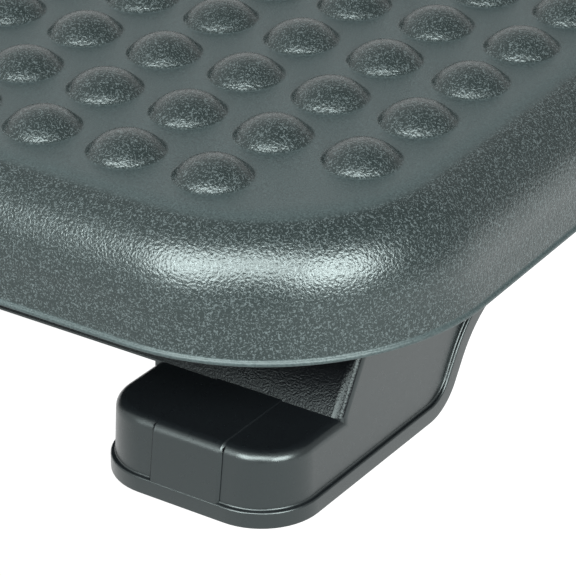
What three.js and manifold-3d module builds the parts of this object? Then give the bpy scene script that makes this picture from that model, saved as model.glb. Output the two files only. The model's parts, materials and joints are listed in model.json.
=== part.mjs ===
// Tilting under desk footrest.
//
// Millimetres, +Z up. X runs from left to right and Y from front to back.
// The origin lies on the floor, below the middle of the tilt axle.
// The platform hangs on one steel axle and rocks on the base about X.

import * as THREE from 'three';
import { mergeVertices } from 'three/addons/utils/BufferGeometryUtils.js';
import Module from 'manifold-3d';

const wasm = await Module();
wasm.setup();

// Clearances.
const SEAT_GAP = 0.3;
const CUT_OVERRUN = 1.0;
const JOIN_BITE = 0.6;

// Domes of the foot surface.
const DOME_COLUMNS = 14;
const DOME_ROWS = 10;
const DOME_PITCH = 28.7;
const DOME_MARGIN = 37.6;
const DOME_RADIUS = 11.15;
const DOME_HEIGHT = 5.8;
const DOME_ROOT = 2.4;
const DOME_WAIST_SHARE = 0.62;

// Platform shell.
const PLATE_THICKNESS = 3.0;
const PLATFORM_WALL = 2.8;
const PLATFORM_DEPTH = 35.2;
const LIP_CORNER_RADIUS = 69.0;
const LIP_HEIGHT = 1.0;
const LIP_PROUD = 0.7;
const SKIRT_LEAN = 1.3;
const RIM_RUN = 21.0;
const RIM_DROP = 25.0;
const PLATFORM_RIB_HEIGHT = 6.0;
const PLATFORM_RIB_WIDTH = 2.4;
const PLATFORM_RIB_X = 60.0;
const PLATFORM_RIB_Y = 62.0;

// Base shell.
const BASE_SIDE_INSET = 24.25;
const BASE_END_INSET = 6.45;
const BASE_WALL = 2.6;
const DECK_THICKNESS = 2.8;
const SIDE_DRAFT_DEG = 1;
const END_DRAFT_DEG = 7.5;
const SOLE_LIFT = 0.8;
const FOOT_WIDTH = 65.4;
const FOOT_CORNER_RADIUS = 20.0;
const FLANGE_PROUD = 1.3;
const FLANGE_HEIGHT = 5.1;
const TOE_HEIGHT = 22.5;
const TOE_LENGTH = 32.1;
const TOE_EDGE = 2.7;
const STRIP_OFFSET = 20.5;
const STRIP_WIDTH = 22.9;
const STRIP_PROUD = 1.0;
const STRIP_TOP_PROUD = 0.3;
const RISER_HEIGHT = 32.5;
const RISER_DEG = 57;
const RISER_CORNER_RADIUS = 3.0;
const APRON_DROP = 0.6;
const SOLE_LENGTH = 76.8;
const HEEL_RADIUS = 15.9;
const HEEL_DEG = 57.5;
const ARCH_RADIUS = 32.0;
const ARCH_HEIGHT = 29.1;
const DECK_RIB_HEIGHT = 6.0;
const DECK_RIB_WIDTH = 2.4;
const DECK_RIB_X = 56.0;
const DECK_RIB_Y = 58.0;

// Rubber foot pads.
const PAD_THICKNESS = 4.5;
const PAD_SIDE_GAP = 1.2;
const PAD_END_GAP = 6.0;
const PAD_LENGTH = 56.0;
const PAD_CORNER_RADIUS = 8.0;
const PAD_RIB_WIDTH = 2.4;
const PAD_RIB_INSET_SHARE = 0.25;

// Tilt axle and what carries it on the base.
const AXLE_OVER_DECK = 11.0;
const FIELD_OVER_AXLE = 24.0;
const AXLE_RADIUS = 5.0;
const AXLE_CHAMFER = 0.8;
const AXLE_TAIL = 4.0;
const CRADLE_X = 95.0;
const CRADLE_WIDTH = 28.0;
const CRADLE_LENGTH = 52.0;
const CAP_HEIGHT = 10.0;
const CRADLE_SCREW_INSET = 8.0;
const BUSH_WALL = 2.0;
const BUSH_FLANGE_RADIUS = 9.0;
const BUSH_FLANGE_THICKNESS = 1.5;

// Brackets that hold the axle under the platform.
const BRACKET_SPACE = 14.0;
const BRACKET_THICKNESS = 4.0;
const BRACKET_FOOT_LENGTH = 28.0;
const BRACKET_FOOT_WIDTH = 40.0;
const BRACKET_EYE_RADIUS = 9.0;
const BRACKET_SCREW_INSET = 7.0;
const BRACKET_BOSS_HEIGHT = 5.0;
const BRACKET_BOSS_RADIUS = 6.0;
const CLIP_RADIUS = 8.0;
const CLIP_THICKNESS = 1.5;

// Screws.
const SCREW_RADIUS = 2.0;
const SCREW_HEAD_RADIUS = 4.5;
const SCREW_HEAD_HEIGHT = 2.8;
const SCREW_HEAD_EDGE = 0.9;
const SCREW_TIP = 2.0;
const DECK_BOSS_RADIUS = 5.0;
const DECK_BOSS_LENGTH = 10.0;
const SCREW_BOSS_REST = 2.0;
const BRACKET_SCREW_REST = 1.0;

// Rubber bumpers that stop the tilt.
const BUMPER_X = 110.0;
const BUMPER_DECK_INSET = 12.0;
const BUMPER_RADIUS = 8.0;
const BUMPER_EDGE = 1.0;
const BUMPER_BOSS_HEIGHT = 6.0;
const BUMPER_BOSS_RADIUS = 8.5;
const BUMPER_STEM_RADIUS = 2.6;
const BUMPER_STEM_LENGTH = 4.0;
const BUMPER_STOP_GAP = 0.5;

// Tilt of the platform: as photographed, rear edge up, and each way from level.
const PHOTO_TILT_DEG = 2;
const TILT_LIMIT_DEG = 9;

// Facets.
const DOME_SIDES = 10;
const RIM_STEPS = 6;
const INNER_RIM_STEPS = 4;
const LIP_CORNER_STEPS = 8;
const FOOT_CORNER_STEPS = 5;
const SMALL_CORNER_STEPS = 2;
const HEEL_STEPS = 4;
const ARCH_STEPS = 5;
const ROUND_SIDES = 16;
const SCREW_SIDES = 10;
const RIGHT_ANGLE_DEG = 90;

// Sizes that follow from the ones above.
const SIDES = [['left', -1], ['right', 1]];
const ENDS = [['front', -1], ['rear', 1]];
const SIDE_DRAFT_SLOPE = Math.tan(THREE.MathUtils.degToRad(SIDE_DRAFT_DEG));
const END_DRAFT_SLOPE = Math.tan(THREE.MathUtils.degToRad(END_DRAFT_DEG));
const RISER_SLOPE = Math.tan(THREE.MathUtils.degToRad(RISER_DEG));
const RISER_SINE = Math.sin(THREE.MathUtils.degToRad(RISER_DEG));
const LIMIT_SINE = Math.sin(THREE.MathUtils.degToRad(TILT_LIMIT_DEG));
const LIMIT_COSINE = Math.cos(THREE.MathUtils.degToRad(TILT_LIMIT_DEG));
const PLATFORM_HALF_X = ((DOME_COLUMNS - 1) * DOME_PITCH) / 2 + DOME_MARGIN;
const PLATFORM_HALF_Y = ((DOME_ROWS - 1) * DOME_PITCH) / 2 + DOME_MARGIN;
const BASE_HALF_X = PLATFORM_HALF_X - BASE_SIDE_INSET;
const BASE_HALF_Y = PLATFORM_HALF_Y - BASE_END_INSET;
const FOOT_X = BASE_HALF_X - FOOT_WIDTH / 2;
const DECK_Z = TOE_HEIGHT + RISER_HEIGHT;
const DECK_UNDER_Z = DECK_Z - DECK_THICKNESS;
const APRON_Z = TOE_HEIGHT - APRON_DROP;
const TOE_EDGE_Z = TOE_HEIGHT - TOE_EDGE;
const TOE_UNDER_Z = TOE_HEIGHT - DECK_THICKNESS;
const FLANGE_TOP_Z = SOLE_LIFT + FLANGE_HEIGHT;
const TOE_INSET = FLANGE_PROUD + (TOE_HEIGHT - FLANGE_TOP_Z) * SIDE_DRAFT_SLOPE;
const LEG_WALL_X = BASE_HALF_X - FOOT_WIDTH + TOE_INSET;
const AXLE_Z = DECK_Z + AXLE_OVER_DECK;
const BUSH_RADIUS = AXLE_RADIUS + SEAT_GAP + BUSH_WALL;
const CRADLE_SCREW_Y = CRADLE_LENGTH / 2 - CRADLE_SCREW_INSET;
const BUSH_INNER_HALF = CRADLE_WIDTH / 2 + SEAT_GAP;
const BUSH_OUTER_HALF = BUSH_INNER_HALF + BUSH_FLANGE_THICKNESS;
const BRACKET_X = CRADLE_X + BUSH_OUTER_HALF + BRACKET_SPACE;
const BRACKET_OUT_X = BRACKET_X + BRACKET_THICKNESS;
const BRACKET_SCREW_Y = BRACKET_FOOT_WIDTH / 2 - BRACKET_SCREW_INSET;

// Platform heights are measured from the axle, because the platform turns about it.
const FIELD_Z = FIELD_OVER_AXLE;
const PLATE_UNDER_Z = FIELD_Z - PLATE_THICKNESS;
const LIP_Z = FIELD_Z - PLATFORM_DEPTH;
const BRACKET_BOSS_Z = PLATE_UNDER_Z - BRACKET_BOSS_HEIGHT;
const BRACKET_TOP_Z = BRACKET_BOSS_Z - SEAT_GAP;
const BRACKET_UNDER_Z = BRACKET_TOP_Z - BRACKET_THICKNESS;
const BUMPER_BOSS_Z = PLATE_UNDER_Z - BUMPER_BOSS_HEIGHT;
const BUMPER_TOP_Z = BUMPER_BOSS_Z - SEAT_GAP;
const BUMPER_Y = riserY(DECK_Z) - BUMPER_DECK_INSET;

const materials = {
  platform: { color: 0x3a4142, roughness: 0.48, metalness: 0.0 },
  base: { color: 0x1c2022, roughness: 0.34, metalness: 0.0 },
  fitting: { color: 0x2a2c2e, roughness: 0.5, metalness: 0.0 },
  bush: { color: 0xd9d6cc, roughness: 0.45, metalness: 0.0 },
  rubber: { color: 0x151516, roughness: 0.9, metalness: 0.0 },
  steel: { color: 0xb6b9bc, roughness: 0.3, metalness: 1.0 },
};

/** Y of the sloped riser's face, from the middle, at height z over the floor. */
function riserY(z) {
  return BASE_HALF_Y - TOE_LENGTH - (z - TOE_HEIGHT) / RISER_SLOPE;
}

/** How far a drafted wall stands in from the flange's face at height z. */
function wallInset(z, slope) {
  return FLANGE_PROUD + Math.max(z - FLANGE_TOP_Z, 0) * slope;
}

/** Corner radius of a faceted hole whose flats clear a round of this radius. */
function clearRadius(radius, sides) {
  return (radius + SEAT_GAP) / Math.cos(Math.PI / sides);
}

/** Turn a closed geometry into a solid that can be joined and cut. */
function toSolid(geometry) {
  const bare = geometry.clone();
  bare.deleteAttribute('normal');
  bare.deleteAttribute('uv');
  const merged = mergeVertices(bare);
  return new wasm.Manifold(new wasm.Mesh({
    numProp: 3,
    vertProperties: new Float32Array(merged.attributes.position.array),
    triVerts: new Uint32Array(merged.index.array),
  }));
}

/** Turn a solid back into a geometry. */
function toGeometry(solid) {
  const mesh = solid.getMesh();
  const geometry = new THREE.BufferGeometry();
  geometry.setAttribute('position', new THREE.BufferAttribute(mesh.vertProperties, 3));
  geometry.setIndex(new THREE.BufferAttribute(mesh.triVerts, 1));
  geometry.computeVertexNormals();
  return geometry;
}

/** Join a list of solids into one. */
function joinAll(solids) {
  return solids.reduce((whole, piece) => whole.add(piece));
}

/** Cut each of a list of solids out of the first. */
function cutAll(whole, cutters) {
  return cutters.reduce((rest, cutter) => rest.subtract(cutter), whole);
}

/** A box between two corners. */
function box(lowX, highX, lowY, highY, lowZ, highZ) {
  const geometry = new THREE.BoxGeometry(highX - lowX, highY - lowY, highZ - lowZ);
  geometry.translate((lowX + highX) / 2, (lowY + highY) / 2, (lowZ + highZ) / 2);
  return toSolid(geometry);
}

/** A round bar upright at (x, y), between two heights. */
function uprightBar(x, y, radius, lowZ, highZ, sides) {
  const geometry = new THREE.CylinderGeometry(radius, radius, highZ - lowZ, sides);
  geometry.rotateX(Math.PI / 2);
  geometry.translate(x, y, (lowZ + highZ) / 2);
  return toSolid(geometry);
}

/** A round bar along X, centred on height z, between two places. */
function crossBar(z, radius, lowX, highX) {
  const geometry = new THREE.CylinderGeometry(radius, radius, highX - lowX, ROUND_SIDES);
  geometry.rotateZ(-Math.PI / 2);
  geometry.translate((lowX + highX) / 2, 0, z);
  return toSolid(geometry);
}

/** An outline in Y and Z, extruded along X between two places. */
function extrudeAcross(points, lowX, highX) {
  const shape = new THREE.Shape(points.map(([y, z]) => new THREE.Vector2(y, z)));
  const geometry = new THREE.ExtrudeGeometry(shape, { depth: highX - lowX, bevelEnabled: false });
  const turn = new THREE.Matrix4().makeBasis(
    new THREE.Vector3(0, 1, 0),
    new THREE.Vector3(0, 0, 1),
    new THREE.Vector3(1, 0, 0),
  );
  geometry.applyMatrix4(turn);
  geometry.translate(lowX, 0, 0);
  return toSolid(geometry);
}

/** Points of a rounded rectangle at one height, counter-clockwise from above. */
function roundedRing({ x = 0, y = 0, halfX, halfY, radius, z, steps }) {
  const corners = [[1, -1, -1], [1, 1, 0], [-1, 1, 1], [-1, -1, 2]];
  const ring = [];
  for (const [signX, signY, quarters] of corners) {
    for (let step = 0; step <= steps; step += 1) {
      const angle = THREE.MathUtils.degToRad(RIGHT_ANGLE_DEG * (quarters + step / steps));
      ring.push(new THREE.Vector3(
        x + signX * (halfX - radius) + radius * Math.cos(angle),
        y + signY * (halfY - radius) + radius * Math.sin(angle),
        z,
      ));
    }
  }
  return ring;
}

/** A closed solid through rings of equal count, from the lowest to the highest. */
function loft(rings) {
  const count = rings[0].length;
  const last = (rings.length - 1) * count;
  const index = [];
  for (let level = 0; level < rings.length - 1; level += 1) {
    for (let step = 0; step < count; step += 1) {
      const here = level * count + step;
      const next = level * count + ((step + 1) % count);
      index.push(here, next, next + count, here, next + count, here + count);
    }
  }
  for (let step = 1; step < count - 1; step += 1) {
    index.push(0, step + 1, step);
    index.push(last, last + step, last + step + 1);
  }
  const geometry = new THREE.BufferGeometry().setFromPoints(rings.flat());
  geometry.setIndex(index);
  return toSolid(geometry);
}

/** A turned piece about the upright axis, from its outline in radius and z. */
function turned(points, sides) {
  const outline = points.map(([radius, z]) => new THREE.Vector2(radius, z));
  const geometry = new THREE.LatheGeometry(outline, sides);
  geometry.rotateX(Math.PI / 2);
  return geometry;
}

/** A named mesh with its own material. */
function mesh(name, source, finish) {
  const geometry = source.isBufferGeometry ? source : toGeometry(source);
  const made = new THREE.Mesh(geometry, new THREE.MeshStandardMaterial(materials[finish]));
  made.name = name;
  return made;
}

/** One level of the platform's outline, pulled in from the lip's edge. */
function platformRing(inset, z) {
  return roundedRing({
    halfX: PLATFORM_HALF_X - inset,
    halfY: PLATFORM_HALF_Y - inset,
    radius: LIP_CORNER_RADIUS - inset,
    z,
    steps: LIP_CORNER_STEPS,
  });
}

/** The quarter ellipse of the rolled rim, from the skirt up to a flat top. */
function rimRings(startInset, topZ, steps) {
  const rings = [];
  for (let step = 0; step <= steps; step += 1) {
    const angle = (Math.PI / 2) * (step / steps);
    const inset = startInset + RIM_RUN * (1 - Math.cos(angle));
    rings.push(platformRing(inset, topZ - RIM_DROP * (1 - Math.sin(angle))));
  }
  return rings;
}

/** One dome, standing in the plate by its root. */
function dome() {
  const ballRadius = (DOME_RADIUS ** 2 + DOME_HEIGHT ** 2) / (2 * DOME_HEIGHT);
  const waistRadius = DOME_RADIUS * DOME_WAIST_SHARE;
  const waistZ = Math.sqrt(ballRadius ** 2 - waistRadius ** 2) - (ballRadius - DOME_HEIGHT);
  return turned([
    [0, -DOME_ROOT],
    [DOME_RADIUS, -DOME_ROOT],
    [DOME_RADIUS, 0],
    [waistRadius, waistZ],
    [0, DOME_HEIGHT],
  ], DOME_SIDES);
}

/** Centres of the domes: a full grid without its four corners. */
function domeCentres() {
  const centres = [];
  for (let row = 0; row < DOME_ROWS; row += 1) {
    for (let column = 0; column < DOME_COLUMNS; column += 1) {
      const atSide = column === 0 || column === DOME_COLUMNS - 1;
      const atEnd = row === 0 || row === DOME_ROWS - 1;
      if (!(atSide && atEnd)) {
        centres.push([
          (column - (DOME_COLUMNS - 1) / 2) * DOME_PITCH,
          (row - (DOME_ROWS - 1) / 2) * DOME_PITCH,
        ]);
      }
    }
  }
  return centres;
}

/** Ribs under the platform's plate, a grid that clears the axle's caps. */
function platformRibs() {
  const lowZ = PLATE_UNDER_Z - PLATFORM_RIB_HEIGHT;
  const highZ = PLATE_UNDER_Z + JOIN_BITE;
  const half = PLATFORM_RIB_WIDTH / 2;
  const reachX = PLATFORM_HALF_X - LIP_CORNER_RADIUS;
  const reachY = PLATFORM_HALF_Y - LIP_CORNER_RADIUS;
  const along = [-PLATFORM_RIB_X, 0, PLATFORM_RIB_X].map((x) => (
    box(x - half, x + half, -reachY, reachY, lowZ, highZ)
  ));
  const across = [-PLATFORM_RIB_Y, PLATFORM_RIB_Y].map((y) => (
    box(-reachX, reachX, y - half, y + half, lowZ, highZ)
  ));
  return [...along, ...across];
}

/** Foot platform: plate, domes, rolled rim, skirt and lip, hollow below. */
function platformShell() {
  const skirtInset = LIP_PROUD + SKIRT_LEAN;
  const outer = loft([
    platformRing(0, LIP_Z),
    platformRing(0, LIP_Z + LIP_HEIGHT),
    platformRing(LIP_PROUD, LIP_Z + LIP_HEIGHT + LIP_PROUD),
    ...rimRings(skirtInset, FIELD_Z, RIM_STEPS),
  ]);
  const inner = loft([
    platformRing(LIP_PROUD + PLATFORM_WALL, LIP_Z - CUT_OVERRUN),
    ...rimRings(skirtInset + PLATFORM_WALL, PLATE_UNDER_Z, INNER_RIM_STEPS),
  ]);
  const domes = domeCentres().map(([x, y]) => toSolid(dome().translate(x, y, FIELD_Z)));
  const bosses = [];
  const holes = [];
  for (const [, side] of SIDES) {
    for (const [, end] of ENDS) {
      const screwX = side * (BRACKET_OUT_X + BRACKET_FOOT_LENGTH / 2);
      const screwY = end * BRACKET_SCREW_Y;
      const hole = clearRadius(SCREW_RADIUS, SCREW_SIDES);
      bosses.push(uprightBar(screwX, screwY, BRACKET_BOSS_RADIUS,
        BRACKET_BOSS_Z, PLATE_UNDER_Z + JOIN_BITE, ROUND_SIDES));
      holes.push(uprightBar(screwX, screwY, hole,
        BRACKET_BOSS_Z - CUT_OVERRUN, PLATE_UNDER_Z, SCREW_SIDES));
      bosses.push(uprightBar(side * BUMPER_X, end * BUMPER_Y, BUMPER_BOSS_RADIUS,
        BUMPER_BOSS_Z, PLATE_UNDER_Z + JOIN_BITE, ROUND_SIDES));
      holes.push(uprightBar(side * BUMPER_X, end * BUMPER_Y, clearRadius(BUMPER_STEM_RADIUS, SCREW_SIDES),
        BUMPER_BOSS_Z - CUT_OVERRUN, BUMPER_TOP_Z + BUMPER_STEM_LENGTH + SEAT_GAP, SCREW_SIDES));
    }
  }
  const shell = joinAll([outer.subtract(inner), ...domes, ...platformRibs(), ...bosses]);
  return cutAll(shell, holes);
}

/** One level of a side channel, which ends in a front and a rear foot. */
function channelRing(side, inset, z) {
  const endInset = wallInset(z, END_DRAFT_SLOPE) + inset;
  return roundedRing({
    x: side * FOOT_X,
    halfX: FOOT_WIDTH / 2 - wallInset(z, SIDE_DRAFT_SLOPE) - inset,
    halfY: BASE_HALF_Y - endInset,
    radius: FOOT_CORNER_RADIUS - endInset,
    z,
    steps: FOOT_CORNER_STEPS,
  });
}

/** A side channel as a solid, stood in by inset, its top raised by lift. */
function channel(side, inset, lowZ, lift) {
  return loft([
    channelRing(side, inset, lowZ),
    channelRing(side, inset, FLANGE_TOP_Z),
    channelRing(side, inset, TOE_EDGE_Z + lift),
    channelRing(side, inset + TOE_EDGE, TOE_HEIGHT + lift),
  ]);
}

/** One level of the raised body, stood in from its sides and its risers. */
function bodyRing(sideInset, riserInset, z, riserZ = z) {
  return roundedRing({
    halfX: BASE_HALF_X - wallInset(z, SIDE_DRAFT_SLOPE) - sideInset,
    halfY: riserY(riserZ) - riserInset,
    radius: RISER_CORNER_RADIUS,
    z,
    steps: SMALL_CORNER_STEPS,
  });
}

/** Half of the lower edge from a foot's sole up the heel to the arch. */
function heelCurve(offset) {
  const heelY = BASE_HALF_Y - SOLE_LENGTH;
  const lean = THREE.MathUtils.degToRad(HEEL_DEG);
  const heelTopY = heelY - HEEL_RADIUS * Math.sin(lean);
  const heelTopZ = SOLE_LIFT + HEEL_RADIUS * (1 - Math.cos(lean));
  const archLowZ = ARCH_HEIGHT - ARCH_RADIUS * (1 - Math.cos(lean));
  const archLowY = heelTopY - (archLowZ - heelTopZ) / Math.tan(lean);
  const archY = archLowY - ARCH_RADIUS * Math.sin(lean);
  const points = [];
  for (let step = 0; step <= HEEL_STEPS; step += 1) {
    const angle = lean * (step / HEEL_STEPS);
    const reach = HEEL_RADIUS - offset;
    points.push([
      heelY - reach * Math.sin(angle),
      SOLE_LIFT + HEEL_RADIUS - reach * Math.cos(angle),
    ]);
  }
  for (let step = 0; step <= ARCH_STEPS; step += 1) {
    const angle = lean * (1 - step / ARCH_STEPS);
    const reach = ARCH_RADIUS + offset;
    points.push([
      archY + reach * Math.sin(angle),
      ARCH_HEIGHT - ARCH_RADIUS + reach * Math.cos(angle),
    ]);
  }
  return points;
}

/** Everything below the lower edge, or below a line that runs offset over it. */
function underEdge(offset) {
  const rearHalf = heelCurve(offset);
  const frontHalf = rearHalf.map(([y, z]) => [-y, z]).reverse();
  const endY = offset > 0 ? BASE_HALF_Y + CUT_OVERRUN : BASE_HALF_Y - SOLE_LENGTH;
  const lowZ = SOLE_LIFT - CUT_OVERRUN;
  const outline = [[-endY, lowZ], [endY, lowZ]];
  if (offset > 0) {
    outline.push([endY, SOLE_LIFT + offset]);
  }
  outline.push(...rearHalf, ...frontHalf);
  if (offset > 0) {
    outline.push([-endY, SOLE_LIFT + offset]);
  }
  const reachX = BASE_HALF_X + CUT_OVERRUN;
  return extrudeAcross(outline, -reachX, reachX);
}

/** The raised strip over the middle of each foot's end and toe. */
function toeStrips(side) {
  const farX = side * (BASE_HALF_X - STRIP_OFFSET);
  const nearX = farX - side * STRIP_WIDTH;
  const raised = channel(side, -STRIP_PROUD, SOLE_LIFT, STRIP_TOP_PROUD);
  return ENDS.map(([, end]) => {
    const startY = end * riserY(TOE_HEIGHT + STRIP_TOP_PROUD + JOIN_BITE);
    const endY = end * (BASE_HALF_Y + CUT_OVERRUN);
    return raised.intersect(box(
      Math.min(nearX, farX), Math.max(nearX, farX),
      Math.min(startY, endY), Math.max(startY, endY),
      SOLE_LIFT, TOE_HEIGHT + STRIP_TOP_PROUD + CUT_OVERRUN,
    ));
  });
}

/** Places of the screws that hold the cradles, as [x, y]. */
function cradleScrewPlaces() {
  return SIDES.flatMap(([sideName, side]) => ENDS.map(([endName, end]) => ({
    name: `${endName}_${sideName}`,
    x: side * CRADLE_X,
    y: end * CRADLE_SCREW_Y,
  })));
}

/** Middle of a foot pad along Y, from the middle of the base. */
function padY() {
  return BASE_HALF_Y - FLANGE_PROUD - BASE_WALL - PAD_END_GAP - PAD_LENGTH / 2;
}

/** Inner walls of the channels, ribs under the deck and ribs over the pads. */
function baseRibs() {
  const half = DECK_RIB_WIDTH / 2;
  const padHalf = PAD_RIB_WIDTH / 2;
  const deckJoinZ = DECK_UNDER_Z + JOIN_BITE;
  const ribLowZ = DECK_UNDER_Z - DECK_RIB_HEIGHT;
  const reachY = riserY(TOE_HEIGHT);
  const ribs = [];
  for (const [, side] of SIDES) {
    const farX = side * (LEG_WALL_X + BASE_WALL);
    const nearX = side * LEG_WALL_X;
    ribs.push(box(Math.min(nearX, farX), Math.max(nearX, farX), -reachY, reachY, SOLE_LIFT, deckJoinZ));
    const outX = side * (BASE_HALF_X - FLANGE_PROUD - JOIN_BITE);
    for (const [, end] of ENDS) {
      for (const shift of [-PAD_RIB_INSET_SHARE, PAD_RIB_INSET_SHARE]) {
        const y = end * padY() + shift * PAD_LENGTH;
        ribs.push(box(Math.min(nearX, outX), Math.max(nearX, outX),
          y - padHalf, y + padHalf, PAD_THICKNESS, deckJoinZ));
      }
    }
  }
  for (const x of [-DECK_RIB_X, DECK_RIB_X]) {
    ribs.push(box(x - half, x + half, -reachY, reachY, ribLowZ, deckJoinZ));
  }
  for (const y of [-DECK_RIB_Y, DECK_RIB_Y]) {
    ribs.push(box(-LEG_WALL_X, LEG_WALL_X, y - half, y + half, ribLowZ, deckJoinZ));
  }
  return ribs;
}

/** Base: two channels with four feet, a raised body between risers, open below. */
function baseShell() {
  const underApron = box(-LEG_WALL_X, LEG_WALL_X, -BASE_HALF_Y, BASE_HALF_Y,
    TOE_EDGE_Z - CUT_OVERRUN, APRON_Z);
  const body = loft([
    bodyRing(0, 0, TOE_EDGE_Z),
    bodyRing(0, 0, DECK_Z - TOE_EDGE),
    bodyRing(TOE_EDGE, TOE_EDGE, DECK_Z),
  ]).subtract(underApron);
  const walls = joinAll([body, ...SIDES.map(([, side]) => channel(side, 0, SOLE_LIFT, 0))]);
  const thickened = joinAll([
    loft([
      bodyRing(-FLANGE_PROUD, 0, TOE_EDGE_Z),
      bodyRing(-FLANGE_PROUD, 0, DECK_Z),
    ]).subtract(underApron),
    ...SIDES.map(([, side]) => channel(side, -FLANGE_PROUD, SOLE_LIFT, 0)),
  ]);
  const flange = thickened.intersect(underEdge(FLANGE_HEIGHT));
  const strips = SIDES.flatMap(([, side]) => toeStrips(side));
  const outer = joinAll([walls, flange, ...strips]).subtract(underEdge(0));
  const riserInset = BASE_WALL / RISER_SINE;
  const bodyHollow = loft([
    bodyRing(BASE_WALL, riserInset, TOE_UNDER_Z - TOE_EDGE - CUT_OVERRUN, TOE_HEIGHT),
    bodyRing(BASE_WALL, riserInset, TOE_HEIGHT),
    bodyRing(BASE_WALL, riserInset, DECK_UNDER_Z),
  ]);
  const channelHollows = SIDES.map(([, side]) => (
    channel(side, BASE_WALL, SOLE_LIFT - CUT_OVERRUN, -DECK_THICKNESS)
  ));
  const bosses = cradleScrewPlaces().map(({ x, y }) => uprightBar(
    x, y, DECK_BOSS_RADIUS, DECK_UNDER_Z - DECK_BOSS_LENGTH, DECK_UNDER_Z + JOIN_BITE, ROUND_SIDES,
  ));
  const holes = cradleScrewPlaces().map(({ x, y }) => uprightBar(
    x, y, clearRadius(SCREW_RADIUS, SCREW_SIDES),
    DECK_UNDER_Z - DECK_BOSS_LENGTH - CUT_OVERRUN, DECK_Z + CUT_OVERRUN, SCREW_SIDES,
  ));
  const hollowed = cutAll(outer, [bodyHollow, ...channelHollows]);
  const ribs = joinAll(baseRibs()).intersect(outer);
  return cutAll(joinAll([hollowed, ribs, ...bosses]), holes);
}

/** Rubber pad in a foot's open sole, against the ribs. */
function footPad(side, end) {
  const halfX = (FOOT_WIDTH / 2) - TOE_INSET - BASE_WALL - PAD_SIDE_GAP;
  const ring = (z) => roundedRing({
    x: side * FOOT_X,
    y: end * padY(),
    halfX,
    halfY: PAD_LENGTH / 2,
    radius: PAD_CORNER_RADIUS,
    z,
    steps: SMALL_CORNER_STEPS,
  });
  return loft([ring(0), ring(PAD_THICKNESS)]);
}

/** Lower or upper half of an axle bearing, with its saddle and screw holes. */
function bearingHalf(side, lowZ, highZ) {
  const middleX = side * CRADLE_X;
  const halfX = CRADLE_WIDTH / 2;
  const halfY = CRADLE_LENGTH / 2;
  const block = box(middleX - halfX, middleX + halfX, -halfY, halfY, lowZ, highZ);
  const saddle = crossBar(AXLE_Z, clearRadius(BUSH_RADIUS, ROUND_SIDES),
    middleX - halfX - CUT_OVERRUN, middleX + halfX + CUT_OVERRUN);
  const holes = ENDS.map(([, end]) => uprightBar(
    middleX, end * CRADLE_SCREW_Y, clearRadius(SCREW_RADIUS, SCREW_SIDES),
    lowZ - CUT_OVERRUN, highZ + CUT_OVERRUN, SCREW_SIDES,
  ));
  return cutAll(block, [saddle, ...holes]);
}

/** Flanged friction bush round the axle, its axis along X. */
function axleBush() {
  const bore = clearRadius(AXLE_RADIUS, ROUND_SIDES);
  const outline = [
    [bore, -BUSH_OUTER_HALF],
    [BUSH_FLANGE_RADIUS, -BUSH_OUTER_HALF],
    [BUSH_FLANGE_RADIUS, -BUSH_INNER_HALF],
    [BUSH_RADIUS, -BUSH_INNER_HALF],
    [BUSH_RADIUS, BUSH_INNER_HALF],
    [BUSH_FLANGE_RADIUS, BUSH_INNER_HALF],
    [BUSH_FLANGE_RADIUS, BUSH_OUTER_HALF],
    [bore, BUSH_OUTER_HALF],
    [bore, -BUSH_OUTER_HALF],
  ];
  return turned(outline, ROUND_SIDES).rotateY(Math.PI / 2);
}

/** Pan head screw, its head's underside at z = 0 and its shank pointing down. */
function screw(length) {
  return turned([
    [0, -length],
    [SCREW_RADIUS, SCREW_TIP - length],
    [SCREW_RADIUS, 0],
    [SCREW_HEAD_RADIUS, 0],
    [SCREW_HEAD_RADIUS, SCREW_HEAD_HEIGHT - SCREW_HEAD_EDGE],
    [SCREW_HEAD_RADIUS - SCREW_HEAD_EDGE, SCREW_HEAD_HEIGHT],
    [0, SCREW_HEAD_HEIGHT],
  ], SCREW_SIDES);
}

/** Steel axle with chamfered ends, its axis along X. */
function tiltAxle() {
  const half = BRACKET_OUT_X + AXLE_TAIL;
  return turned([
    [0, -half],
    [AXLE_RADIUS - AXLE_CHAMFER, -half],
    [AXLE_RADIUS, AXLE_CHAMFER - half],
    [AXLE_RADIUS, half - AXLE_CHAMFER],
    [AXLE_RADIUS - AXLE_CHAMFER, half],
    [0, half],
  ], ROUND_SIDES).rotateY(Math.PI / 2);
}

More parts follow.
